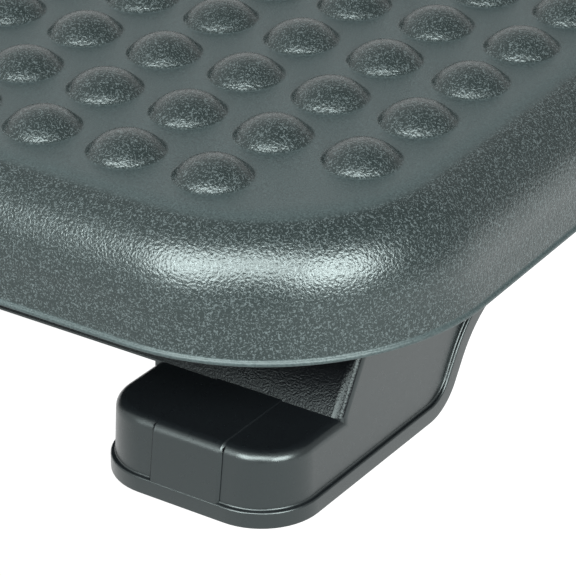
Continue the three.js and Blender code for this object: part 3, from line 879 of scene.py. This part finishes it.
    def cell(self) -> Solid:
        """One round-to-square cell of the field, flat, about the origin.

        Returns:
            The cell.
        """
        bm = bmesh.new()
        bmesh.ops.create_circle(
            bm, cap_ends=True, cap_tris=True,
            radius=self.cell_radii[0], segments=self.dome_sides,
        )
        for radius, wider in zip(self.cell_radii, self.cell_radii[1:]):
            verts, _ = grow_ring(bm, [e for e in bm.edges if e.is_boundary])
            share = wider / radius
            bmesh.ops.scale(bm, vec=(share, share, 1.0), verts=verts)
        verts, _ = grow_ring(bm, [e for e in bm.edges if e.is_boundary])
        half = self.pitch / 2
        for vert in verts:
            angle = math.atan2(vert.co.y, vert.co.x)
            quarter = round(angle / (math.pi / 2))
            along = (angle - quarter * math.pi / 2) / (math.pi / 4) * half
            vert.co = Matrix.Rotation(quarter * math.pi / 2, 3, "Z") @ Vector((half, along, 0.0))
        return bm

    def dome_field(self) -> Solid:
        """All cells of the field, joined, with their heights and their grain.

        Returns:
            The field.
        """
        cell = self.cell()
        scratch = bpy.data.meshes.new("cell")
        cell.to_mesh(scratch)
        cell.free()
        bm = bmesh.new()
        grain = bm.verts.layers.float.new("grain")
        for centre in self.centres():
            start = len(bm.verts)
            bm.from_mesh(scratch)
            bm.verts.ensure_lookup_table()
            for vert in bm.verts[start:]:
                reach = vert.co.length
                vert.co += centre
                inset = self.inset_at(vert.co.x, vert.co.y)
                vert.co.z = self.surface_z(vert.co.x, vert.co.y, reach)
                vert[grain] = self.grain_at(inset, reach)
        bpy.data.meshes.remove(scratch)
        bmesh.ops.remove_doubles(bm, verts=bm.verts, dist=self.pitch / 1000)
        return bm

    def anchor_angle(self, x: float, y: float) -> Optional[float]:
        """Angle on the corner's arc that a place on the field's edge goes to.

        Args:
            x: Place across, from the middle, never negative.
            y: Place from front to back, from the middle, never negative.

        Returns:
            The angle in radians from the X axis, or None on a straight side.
        """
        radius = self.corner_radius - self.ring_inset
        turn_x = self.half_x - self.corner_radius
        turn_y = self.half_y - self.corner_radius
        notch_x = (self.columns / 2 - 1) * self.pitch
        notch_y = (self.rows / 2 - 1) * self.pitch
        slack = self.pitch / 1000
        if x <= notch_x - slack:
            return None if x <= turn_x else math.acos((x - turn_x) / radius)
        if y <= notch_y - slack:
            return None if y <= turn_y else math.asin((y - turn_y) / radius)
        high = math.acos((notch_x - turn_x) / radius)
        low = math.asin((notch_y - turn_y) / radius)
        share = ((notch_y + self.pitch - y) + (x - notch_x)) / (2 * self.pitch)
        return high + (low - high) * share

    def anchor(self, place: Vector) -> Tuple[Vector, Vector]:
        """Where the field's edge meets the rim's first ring, and which way is out.

        Args:
            place: A place on the field's edge.

        Returns:
            The place on the ring and the outward direction, both flat.
        """
        radius = self.corner_radius - self.ring_inset
        turn = Vector((self.half_x - self.corner_radius, self.half_y - self.corner_radius, 0.0))
        size = Vector((abs(place.x), abs(place.y), 0.0))
        angle = self.anchor_angle(size.x, size.y)
        if angle is not None:
            out = Vector((math.cos(angle), math.sin(angle), 0.0))
            spot = turn + out * radius
        elif size.x <= turn.x:
            out = Vector((0.0, 1.0, 0.0))
            spot = Vector((size.x, turn.y + radius, 0.0))
        else:
            out = Vector((1.0, 0.0, 0.0))
            spot = Vector((turn.x + radius, size.y, 0.0))
        sign = Vector((math.copysign(1, place.x), math.copysign(1, place.y), 1.0))
        return spot * sign, out * sign

    def outer_profile(self) -> List[Span]:
        """Rim, skirt and lip, from the first ring outward and down.

        Returns:
            Places as (inset, height).
        """
        start = math.asin((self.rim_run + self.skirt_inset - self.ring_inset) / self.rim_run)
        points = []
        for step in range(1, self.rim_steps + 1):
            angle = start + (math.pi / 2 - start) * step / self.rim_steps
            inset = self.skirt_inset + self.rim_run * (1 - math.sin(angle))
            points.append((inset, self.field_over_axle - self.rim_drop * (1 - math.cos(angle))))
        foot_z = self.field_over_axle - self.rim_drop
        bead = self.lip_proud
        for share in self.skirt_shares:
            points.append((
                self.skirt_inset - self.skirt_lean * share,
                foot_z + (self.neck_z - foot_z) * share,
            ))
        points += [(bead * inward, self.neck_z - bead * down) for inward, down in self.bead_over]
        points += [(bead * inward, self.lip_z + bead * up) for inward, up in self.bead_under]
        return points

    def inner_profile(self) -> List[Span]:
        """The hollow's face as (inset, height), from the lip up to the plate.

        Returns:
            Its places.
        """
        start_inset = self.lip_proud + self.wall
        foot_inset = self.skirt_inset + self.wall
        under = self.field_over_axle - self.plate
        points = [(start_inset, self.lip_z), (foot_inset, under - self.rim_drop)]
        for step in range(1, self.ring_steps + 1):
            angle = math.pi / 2 * step / self.ring_steps
            points.append((
                foot_inset + self.rim_run * (1 - math.cos(angle)),
                under - self.rim_drop * (1 - math.sin(angle)),
            ))
        return points

    def shell(self) -> Solid:
        """The whole moulding without ribs, level, with heights from the axle.

        Returns:
            The moulding.
        """
        bm = self.dome_field()
        grain = bm.verts.layers.float["grain"]
        spot = bm.verts.layers.float_vector.new("spot")
        out = bm.verts.layers.float_vector.new("out")
        start = bm.verts.layers.float_vector.new("start")
        edges = [e for e in bm.edges if e.is_boundary]
        for vert in {v for e in edges for v in e.verts}:
            vert[spot], vert[out] = self.anchor(vert.co)
            vert[start] = vert.co.copy()

        def grow(flat: Callable[[Vert], Tuple[Vector, float]], coarse: Optional[float]) -> None:
            """Grow one ring and put its vertices in place.

            Args:
                flat: Gives a vertex's place seen from above, and its height.
                coarse: The ring's share of the coarse grain, or None where
                    the place decides it.
            """
            nonlocal edges
            verts, edges = grow_ring(bm, edges)
            for vert in verts:
                flat_place, height = flat(vert)
                vert.co = (flat_place.x, flat_place.y, height)
                inset = self.inset_at(vert.co.x, vert.co.y)
                vert[grain] = self.grain_at(inset, None) if coarse is None else coarse

        for step in range(1, self.ring_steps + 1):
            share = step / self.ring_steps

            def between(vert: Vert) -> Tuple[Vector, float]:
                """A place between the field's edge and the first ring."""
                flat_place = vert[start].lerp(vert[spot], share)
                return flat_place, self.rim_z(self.inset_at(flat_place.x, flat_place.y))

            grow(between, None)
        for inset, height in self.outer_profile():
            grow(
                lambda vert: (vert[spot] + vert[out] * (self.ring_inset - inset), height),
                0.0 if height <= self.neck_z else None,
            )
        for inset, height in self.inner_profile():
            grow(lambda vert: (vert[spot] + vert[out] * (self.ring_inset - inset), height), 0.0)
        bmesh.ops.edgeloop_fill(bm, edges=edges)
        bmesh.ops.recalc_face_normals(bm, faces=bm.faces)
        for name in ("spot", "out", "start"):
            layers = bm.verts.layers.float_vector
            layers.remove(layers[name])
        return bm

    def ribs(self) -> List[Solid]:
        """Ribs under the plate, a grid that clears the axle's caps.

        Returns:
            The ribs.
        """
        under = self.field_over_axle - self.plate
        reach_x = self.half_x - self.corner_radius
        reach_y = self.half_y - self.corner_radius
        half = self.rib_width / 2
        low, high = under - self.rib_height, under + self.rib_bite
        made = [
            block(Vector((x - half, -reach_y, low)), Vector((x + half, reach_y, high)), half / 3)
            for x in (-self.rib_x, 0.0, self.rib_x)
        ]
        made += [
            block(Vector((-reach_x, y - half, low)), Vector((reach_x, y + half, high)), half / 3)
            for y in (-self.rib_y, self.rib_y)
        ]
        return made

    def bosses(self) -> List[Solid]:
        """Hollow posts under the plate for the brackets' screws and the bumpers.

        Returns:
            The posts.
        """
        under = self.field_over_axle - self.plate
        kinds = (
            (self.bracket_place, self.bracket_boss, self.bracket_hole),
            (self.bumper_place, self.bumper_boss, self.bumper_hole),
        )
        made = []
        for (x, y), (radius, height), hole in kinds:
            for side in Side:
                for end in End:
                    spot = (side.value * x, end.value * y)
                    boss = post(*spot, radius, under - height, under + self.rib_bite)
                    drill = post(*spot, hole, under - 2 * height, under)
                    made.append(carve(boss, drill, Blend.CUT))
        return made

    def build(self) -> bpy.types.Object:
        """Build the platform shell as photographed, rear edge up.

        Returns:
            The piece.
        """
        bm = self.shell()
        gather(bm, *self.ribs(), *self.bosses())
        turn = Matrix.Translation((0.0, 0.0, self.axle_z)) @ Matrix.Rotation(
            math.radians(self.tilt_deg), 4, "X"
        )
        bmesh.ops.transform(bm, matrix=turn, verts=bm.verts)
        return place_piece(
            "platform_moulding", bm, [self.finishes.platform],
            body="platform", replaced=["platform_shell"],
        )


@dataclass
class BaseShell:
    """Base: two channels with four feet, a raised body between risers, open below."""

    finishes: Finishes
    half_x: float = field(default_factory=lambda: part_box("base_shell")[1].x / METRES)
    half_y: float = field(default_factory=lambda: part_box("base_shell")[1].y / METRES)
    wall: float = 2.6
    deck_thickness: float = 2.8
    side_draft_deg: float = 1.0
    end_draft_deg: float = 7.5
    sole_lift: float = 0.8
    foot_width: float = 65.0
    foot_corner: float = 18.3
    flange_proud: float = 1.3
    flange_height: float = 5.1
    flange_edge: float = 0.7
    flange_fillet: float = 0.6
    flange_bite: float = 1.1
    flange_foot: Sequence[Span] = ((0.4, 0.0), (0.12, 0.12), (0.0, 0.4))
    flange_edge_degs: Sequence[float] = (22.0, 45.0, 68.0, 90.0)
    flange_fillet_degs: Sequence[float] = (20.0, 42.0, 64.0, 82.0)
    toe_height: float = 22.5
    toe_length: float = 32.1
    toe_edge: float = 3.4
    strip_offset: float = 20.5
    strip_width: float = 22.9
    strip_proud: float = 1.0
    strip_top_proud: float = 0.3
    strip_bite: float = 0.8
    strip_edge: float = 0.75
    riser_height: float = 32.5
    riser_deg: float = 57.0
    riser_corner: float = 3.5
    apron_drop: float = 0.6
    sole_length: float = 76.8
    heel_radius: float = 15.9
    heel_deg: float = 57.5
    arch_radius: float = 32.0
    arch_height: float = 29.1
    rib_width: float = 2.4
    rib_height: float = 6.0
    rib_x: float = 56.0
    rib_y: float = 58.0
    pad_y: float = 122.4
    pad_length: float = 56.0
    pad_thickness: float = 4.5
    pad_rib_shares: Span = (-0.25, 0.25)
    boss_x: float = 95.0
    boss_y: float = 18.0
    boss_radius: float = 5.0
    boss_length: float = 10.0
    screw_radius: float = 2.3
    corner_steps: int = 14
    edge_steps: int = 6
    arc_steps: int = 12
    overrun: float = 1.0
    skin: float = 0.04
    side_normal: float = 0.9
    sloped_normal: float = 0.5
    underside_normal: float = -0.1

    @property
    def deck_z(self) -> float:
        """Height of the deck's top."""
        return self.toe_height + self.riser_height

    @property
    def foot_x(self) -> float:
        """Middle of a channel, from the middle of the base."""
        return self.half_x - self.foot_width / 2

    @property
    def leg_x(self) -> float:
        """Inner face of a channel at its toe's height."""
        return self.half_x - self.foot_width + self.side_inset(self.toe_height)

    @property
    def flange_z(self) -> float:
        """Height of the flange's top along the soles."""
        return self.sole_lift + self.flange_height

    def side_inset(self, z: float) -> float:
        """How far a drafted side wall stands in from the flange's face."""
        over = max(z - self.flange_z, 0.0)
        return self.flange_proud + over * math.tan(math.radians(self.side_draft_deg))

    def end_inset(self, z: float) -> float:
        """How far a drafted end wall stands in from the flange's face."""
        over = max(z - self.flange_z, 0.0)
        return self.flange_proud + over * math.tan(math.radians(self.end_draft_deg))

    def riser_y(self, z: float) -> float:
        """Place of the sloped riser's face at a height."""
        rise = (z - self.toe_height) / math.tan(math.radians(self.riser_deg))
        return self.half_y - self.toe_length - rise

    def channel(self, side: Side, inset: float, low_z: float, lift: float) -> Solid:
        """A side channel as a solid, with round toe edges.

        Args:
            side: Which channel.
            inset: How far it stands in from the drafted wall.
            low_z: Height of its open side.
            lift: How far its top is raised.

        Returns:
            The solid.
        """
        edge_z = self.toe_height - self.toe_edge + lift
        places = [(0.0, low_z), (0.0, self.flange_z)]
        places += quarter_round(self.toe_edge, edge_z, self.edge_steps)
        levels = [
            Level(
                self.foot_width / 2 - self.side_inset(min(z, edge_z)) - inset - away,
                self.half_y - self.end_inset(min(z, edge_z)) - inset - away,
                self.foot_corner - self.end_inset(min(z, edge_z)) - inset - away,
                z,
            )
            for away, z in places
        ]
        return loft(levels, self.corner_steps, (side.value * self.foot_x, 0.0))

    def body(self) -> Solid:
        """The raised body between the risers, as a solid.

        Returns:
            The solid.
        """
        edge_z = self.deck_z - self.toe_edge
        places = [(0.0, self.toe_height / 2), (0.0, self.toe_height)]
        places += quarter_round(self.toe_edge, edge_z, self.edge_steps)
        levels = [
            Level(
                self.half_x - self.side_inset(z) - away,
                self.riser_y(max(z, self.toe_height - self.apron_drop)) - away,
                self.riser_corner,
                z,
            )
            for away, z in places
        ]
        return loft(levels, self.edge_steps)

    def body_hollow(self) -> Solid:
        """The space inside the raised body.

        Returns:
            The space as a solid.
        """
        riser_inset = self.wall / math.sin(math.radians(self.riser_deg))
        under = self.deck_z - self.deck_thickness
        low_z = self.toe_height / 2 - self.overrun
        levels = [
            Level(
                self.half_x - self.side_inset(z) - self.wall,
                self.riser_y(max(z, self.toe_height)) - riser_inset,
                self.riser_corner,
                z,
            )
            for z in (low_z, self.toe_height, under)
        ]
        return loft(levels, self.edge_steps)

    def edge_line(self) -> List[Tuple[Vector, Vector]]:
        """The lower edge from the front sole over the arch to the rear sole.

        Returns:
            Places in Y and Z and the directions into the wall, as (0, y, z).
        """
        lean = math.radians(self.heel_deg)
        heel_y = self.half_y - self.sole_length
        top_y = heel_y - self.heel_radius * math.sin(lean)
        top_z = self.sole_lift + self.heel_radius * (1 - math.cos(lean))
        low_z = self.arch_height - self.arch_radius * (1 - math.cos(lean))
        low_y = top_y - (low_z - top_z) / math.tan(lean)
        arch_y = low_y - self.arch_radius * math.sin(lean)
        heel = Vector((0.0, heel_y, self.sole_lift + self.heel_radius))
        arch = Vector((0.0, arch_y, self.arch_height - self.arch_radius))
        steps = range(self.arc_steps + 1)
        arcs = (
            (heel, -self.heel_radius, [lean * step / self.arc_steps for step in steps]),
            (arch, self.arch_radius, [lean * (1 - step / self.arc_steps) for step in steps]),
        )
        half = []
        for middle, radius, angles in arcs:
            for angle in angles:
                into = Vector((0.0, math.sin(angle), math.cos(angle)))
                half.append((middle + into * radius, into))
        flip = Vector((1.0, -1.0, 1.0))
        return [(place * flip, into * flip) for place, into in half] + half[::-1]

    def under_edge(self) -> Solid:
        """Everything below the lower edge, as a solid across the base.

        Returns:
            The solid.
        """
        low = self.sole_lift - self.overrun
        line = [place + into * self.skin for place, into in self.edge_line()]
        end_y = self.half_y - self.sole_length
        reach = self.half_x + self.overrun
        outline = [(-end_y, low), *[(place.y, place.z) for place in line], (end_y, low)]
        return prism(outline, -reach, reach)

    def flange_section(self) -> List[Span]:
        """The flange's outline as (distance in from its face, distance over the edge).

        Returns:
            Its places, in order.
        """
        top, edge, fillet = self.flange_height, self.flange_edge, self.flange_fillet
        deep = self.flange_proud + self.flange_bite
        points = [(deep, 0.0), *self.flange_foot, (0.0, top - edge)]
        for angle in map(math.radians, self.flange_edge_degs):
            points.append((edge * (1 - math.cos(angle)), top - edge + edge * math.sin(angle)))
        start = self.flange_proud - fillet
        for angle in map(math.radians, self.flange_fillet_degs):
            points.append((start + fillet * math.sin(angle), top + fillet * (1 - math.cos(angle))))
        points.append((deep, top + fillet))
        return points

    def flange(self, side: Side) -> Solid:
        """The flange round one channel, up the heels and over the arches.

        Args:
            side: Which channel.

        Returns:
            The flange.
        """
        section = self.flange_section()
        half_width = self.foot_width / 2
        turn_x = half_width - self.foot_corner
        turn_y = self.half_y - self.foot_corner
        stations: List[Callable[[float, float], Vector]] = []

        def along(sign: int, place: Vector, into: Vector) -> Callable[[float, float], Vector]:
            """A station on a long side."""
            return lambda d, o: Vector((sign * (half_width - d), 0.0, 0.0)) + place + into * o

        def round_corner(sign_x: int, sign_y: int, angle: float) -> Callable[[float, float], Vector]:
            """A station on a round corner."""
            return lambda d, o: Vector((
                sign_x * turn_x + (self.foot_corner - d) * math.cos(angle),
                sign_y * turn_y + (self.foot_corner - d) * math.sin(angle),
                self.sole_lift + o,
            ))

        edge = self.edge_line()
        stations += [along(1, place, into) for place, into in edge]
        for number, (sign_x, sign_y) in enumerate(((1, 1), (-1, 1), (-1, -1), (1, -1))):
            for step in range(self.corner_steps + 1):
                angle = math.pi / 2 * (number + step / self.corner_steps)
                stations.append(round_corner(sign_x, sign_y, angle))
            if number == 1:
                stations += [along(-1, place, into) for place, into in reversed(edge)]
        bm = bmesh.new()
        tag = bm.verts.layers.int.new("order")
        ring = bmesh.ops.create_circle(bm, segments=len(section), radius=1.0)["verts"]
        for index, vert in enumerate(ring):
            vert[tag] = index
            vert.co = stations[0](*section[index])
        edges = list(bm.edges)
        for station in stations[1:] + stations[:1]:
            verts, edges = grow_ring(bm, edges)
            for vert in verts:
                vert.co = station(*section[vert[tag]])
        bmesh.ops.remove_doubles(bm, verts=bm.verts, dist=self.skin / 10)
        bmesh.ops.translate(bm, vec=(side.value * self.foot_x, 0.0, 0.0), verts=bm.verts)
        bmesh.ops.recalc_face_normals(bm, faces=bm.faces)
        bm.verts.layers.int.remove(bm.verts.layers.int["order"])
        return bm

    def strip(self, side: Side, end: End) -> Solid:
        """The raised strip over the middle of a foot's end and toe.

        Args:
            side: Which side the foot is on.
            end: Which end it is at.

        Returns:
            The strip.
        """
        proud, top_z = self.strip_proud, self.toe_height + self.strip_top_proud
        radius = self.toe_edge + self.strip_top_proud
        edge_z = top_z - radius
        face_y = self.half_y - self.end_inset(edge_z) + proud
        low_z = self.flange_z - self.flange_bite
        outer = [
            (self.half_y - self.end_inset(low_z) + proud, low_z),
            (self.half_y - self.flange_proud + proud, self.flange_z),
        ]
        rounding = quarter_round(radius, edge_z, self.edge_steps)
        outer += [(face_y - away, z) for away, z in rounding]
        outer.append((self.riser_y(top_z) - self.strip_bite, top_z))
        depth = proud + self.strip_bite
        inner = [
            (outer[-1][0], top_z - depth),
            (face_y - depth, top_z - depth),
            (outer[0][0] - depth, low_z),
        ]
        far_x = side.value * (self.half_x - self.strip_offset)
        near_x = far_x - side.value * self.strip_width
        bm = prism([(end.value * y, z) for y, z in outer + inner], near_x, far_x)
        sides = [f for f in bm.faces if abs(f.normal.x) > self.side_normal]
        soften(bm, dict.fromkeys(e for f in sides for e in f.edges), self.strip_edge, 1)
        return bm

    def ribs(self) -> Solid:
        """Inner walls of the channels, ribs under the deck and ribs over the pads.

        Returns:
            All of them, joined.
        """
        half = self.rib_width / 2
        join_z = self.deck_z - self.deck_thickness / 2
        low_z = self.deck_z - self.deck_thickness - self.rib_height
        reach = self.riser_y(self.toe_height)
        blocks = []
        for side in Side:
            near = side.value * self.leg_x
            far = side.value * (self.leg_x + self.wall)
            out = side.value * (self.half_x - self.flange_proud - self.wall / 2)
            blocks.append(block(
                Vector((min(near, far), -reach, self.sole_lift)),
                Vector((max(near, far), reach, join_z)),
            ))
            for end in End:
                for shift in self.pad_rib_shares:
                    y = end.value * self.pad_y + shift * self.pad_length
                    blocks.append(block(
                        Vector((min(near, out), y - half, self.pad_thickness)),
                        Vector((max(near, out), y + half, join_z)),
                    ))
        for x in (-self.rib_x, self.rib_x):
            blocks.append(block(Vector((x - half, -reach, low_z)), Vector((x + half, reach, join_z))))
        for y in (-self.rib_y, self.rib_y):
            blocks.append(block(
                Vector((-self.leg_x - half, y - half, low_z)),
                Vector((self.leg_x + half, y + half, join_z)),
            ))
        whole = blocks[0]
        for part in blocks[1:]:
            whole = carve(whole, part, Blend.JOIN)
        return whole

    def build(self) -> bpy.types.Object:
        """Build the base shell.

        Returns:
            The piece.
        """
        outer = self.body()
        between = self.leg_x - self.side_inset(self.toe_height) + self.flange_proud
        gap = block(
            Vector((-between, -self.half_y, self.sole_lift)),
            Vector((between, self.half_y, self.toe_height - self.apron_drop)),
        )
        outer = carve(outer, gap, Blend.CUT)
        for side in Side:
            outer = carve(outer, self.channel(side, 0.0, self.sole_lift, 0.0), Blend.JOIN)
        outer = carve(outer, self.under_edge(), Blend.CUT)
        ribs = carve(self.ribs(), outer.copy(), Blend.KEEP)
        shell = carve(outer, self.body_hollow(), Blend.CUT)
        for side in Side:
            hollow = self.channel(side, self.wall, self.sole_lift - self.overrun, -self.deck_thickness)
            shell = carve(shell, hollow, Blend.CUT)
        shell = carve(shell, ribs, Blend.JOIN)
        under = self.deck_z - self.deck_thickness
        spots = [
            (side.value * self.boss_x, end.value * self.boss_y) for side in Side for end in End
        ]
        for x, y in spots:
            boss = post(x, y, self.boss_radius, under - self.boss_length, under + self.wall / 2)
            shell = carve(shell, boss, Blend.JOIN)
        low_z = under - self.boss_length - self.overrun
        for x, y in spots:
            hole = post(x, y, self.screw_radius, low_z, self.deck_z + self.overrun)
            shell = carve(shell, hole, Blend.CUT)
        for face in shell.faces:
            high = face.calc_center_median().z > self.toe_height - self.apron_drop
            sloped = abs(face.normal.y) > self.sloped_normal
            riser = high and sloped and face.normal.z > self.underside_normal
            face.material_index = 1 if riser else 0
        gather(shell, *[self.flange(side) for side in Side])
        gather(shell, *[self.strip(side, end) for side in Side for end in End])
        return place_piece(
            "base_moulding", shell, [self.finishes.base, self.finishes.riser],
            body="base", replaced=["base_shell"], weigh=True,
        )


@dataclass(frozen=True)
class SoftBox:
    """A soft lamp that looks at one place, in degrees, metres and watts."""

    name: str
    azimuth_deg: float
    elevation_deg: float
    width: float
    height: float
    power: float

    def build(self, target: Vector, distance: float) -> None:
        """Hang the lamp.

        Args:
            target: What it looks at.
            distance: How far away it hangs.
        """
        azimuth = math.radians(self.azimuth_deg)
        elevation = math.radians(self.elevation_deg)
        toward = Vector((
            math.sin(azimuth) * math.cos(elevation),
            math.cos(azimuth) * math.cos(elevation),
            math.sin(elevation),
        ))
        data = bpy.data.lights.new(self.name, "AREA")
        data.shape = "RECTANGLE"
        data.size = self.width
        data.size_y = self.height
        data.energy = self.power
        lamp = bpy.data.objects.new(self.name, data)
        lamp.location = target + toward * distance
        lamp.rotation_euler = (-toward).to_track_quat("-Z", "Y").to_euler()
        bpy.context.scene.collection.objects.link(lamp)


@dataclass
class Studio:
    """White studio, three soft boxes and the photograph's camera, in metres."""

    camera_place: Place = (0.56896, -0.71159, 0.420107)
    camera_forward: Place = (-0.492074, 0.739542, -0.459283)
    camera_up: Place = (-0.256822, 0.380775, 0.888286)
    camera_reach: float = 30.0
    lens_mm: float = 184.54
    sensor_mm: float = 36.0
    lit_corner: Place = (0.2, -0.16, 0.08)
    lamp_distance: float = 1.5
    lamps: Sequence[SoftBox] = (
        SoftBox("left_soft_box", 192.0, 30.0, width=0.78, height=0.76, power=23.0),
        SoftBox("right_soft_box", 115.0, 29.0, width=0.9, height=0.72, power=29.0),
        SoftBox("middle_soft_box", 157.0, 42.0, width=0.72, height=0.78, power=17.0),
    )
    floor_size: float = 6.0
    floor_share: float = 0.95
    floor_colour: float = 0.55
    floor_roughness: float = 0.9
    floor_away: Place = (math.sqrt(0.5), math.sqrt(0.5), 0.0)
    floor_glow: Span = (1.02, 1.34)
    floor_reach: Span = (-0.05, 0.12)
    sky_strength: float = 0.14
    across: Span = (-0.45, 0.3)
    across_glow: Span = (0.88, 0.48)
    upward: Span = (0.45, 0.95)
    upward_glow: Span = (1.0, 0.75)

    def camera(self) -> None:
        """Put up the camera and make it the scene's."""
        data = bpy.data.cameras.new("photo_camera")
        data.lens = self.lens_mm
        data.sensor_width = self.sensor_mm
        data.clip_end = self.camera_reach
        camera = bpy.data.objects.new("photo_camera", data)
        back = -Vector(self.camera_forward).normalized()
        right = Vector(self.camera_up).cross(back).normalized()
        up = back.cross(right)
        turn = Matrix((right, up, back)).transposed().to_4x4()
        camera.matrix_world = Matrix.Translation(self.camera_place) @ turn
        bpy.context.scene.collection.objects.link(camera)
        bpy.context.scene.camera = camera

    def floor(self) -> None:
        """Lay the floor, white to the camera, that keeps the shadow; it glows brighter toward the back
        right, painted light that reflections pick up.
        """
        bm = bmesh.new()
        bmesh.ops.create_grid(bm, x_segments=1, y_segments=1, size=self.floor_size / 2)
        shape = bpy.data.meshes.new("floor")
        bm.to_mesh(shape)
        bm.free()
        bench = NodeBench("studio_floor")
        grey = (*[self.floor_colour] * 3, 1.0)
        bench.set(Base_Color=grey, Roughness=self.floor_roughness, Specular_IOR_Level=0.0)
        # Painted light: the glow rises toward the back right, a bright patch that the walls and rim
        # reflect.
        away = bench.add("VectorMath", {0: bench.place, 1: self.floor_away})
        away.operation = "DOT_PRODUCT"
        strength = bench.spread(away.outputs["Value"], self.floor_reach, self.floor_glow)
        glow = bench.add("Emission", {"Strength": strength}).outputs["Emission"]
        share = bench.math("MULTIPLY", bench.seen(), self.floor_share)
        mix = bench.add("MixShader", {"Fac": share, 1: bench.shader.outputs["BSDF"], 2: glow})
        surface = bench.tree.nodes["Material Output"].inputs["Surface"]
        bench.tree.links.new(mix.outputs["Shader"], surface)
        shape.materials.append(bench.material)
        floor = bpy.data.objects.new("studio_floor", shape)
        bpy.context.scene.collection.objects.link(floor)

    def sky(self) -> None:
        """Light the room evenly, and brighter where it is seen."""
        world = bpy.data.worlds.new("studio")
        world.use_nodes = True
        bpy.context.scene.world = world
        table = NodeTable(world.node_tree)
        back = table.tree.nodes["Background"]
        back.inputs["Color"].default_value = (1.0, 1.0, 1.0, 1.0)
        toward = table.add("TexCoord", {}).outputs["Generated"]
        direction = table.add("SeparateXYZ", {0: toward}).outputs
        sideways = table.spread(direction["X"], self.across, self.across_glow)
        above = table.spread(direction["Z"], self.upward, self.upward_glow)
        room = table.math("MULTIPLY", sideways, above)
        feeds = {"Value": table.seen(), "To Min": self.sky_strength, "To Max": room}
        strength = table.add("MapRange", feeds).outputs["Result"]
        table.tree.links.new(strength, back.inputs["Strength"])

    def build(self) -> None:
        """Set up camera, floor, sky and lamps."""
        bpy.context.scene.view_settings.view_transform = "Standard"
        self.camera()
        self.floor()
        self.sky()
        for lamp in self.lamps:
            lamp.build(Vector(self.lit_corner), self.lamp_distance)
        log.info("studio: %d lamps", len(self.lamps))


def dress_frame(finishes: Finishes) -> None:
    """Give every node of the frame the finish of its material slot.

    Args:
        finishes: The finishes.
    """
    by_slot = {
        "platform_plastic": finishes.platform,
        "base_plastic": finishes.base,
        "fitting_plastic": finishes.fitting,
        "bush_plastic": finishes.bush,
        "rubber": finishes.rubber,
        "steel": finishes.steel,
    }
    for part in frame["record"]["subparts"]:
        node = frame["nodes"][part["node"]]
        node.data.materials.clear()
        node.data.materials.append(by_slot[part["material_slot"]])
        log.info("%s: dressed as %s", part["node"], part["material_slot"])


def main() -> None:
    """Build the studio and every sub-assembly, and report each."""
    logging.basicConfig(level=logging.INFO, format="%(name)s: %(message)s")
    Studio().build()
    finishes = Finishes()
    dress_frame(finishes)
    PlatformShell(finishes).build()
    BaseShell(finishes).build()


if __name__ == "__main__":
    main()
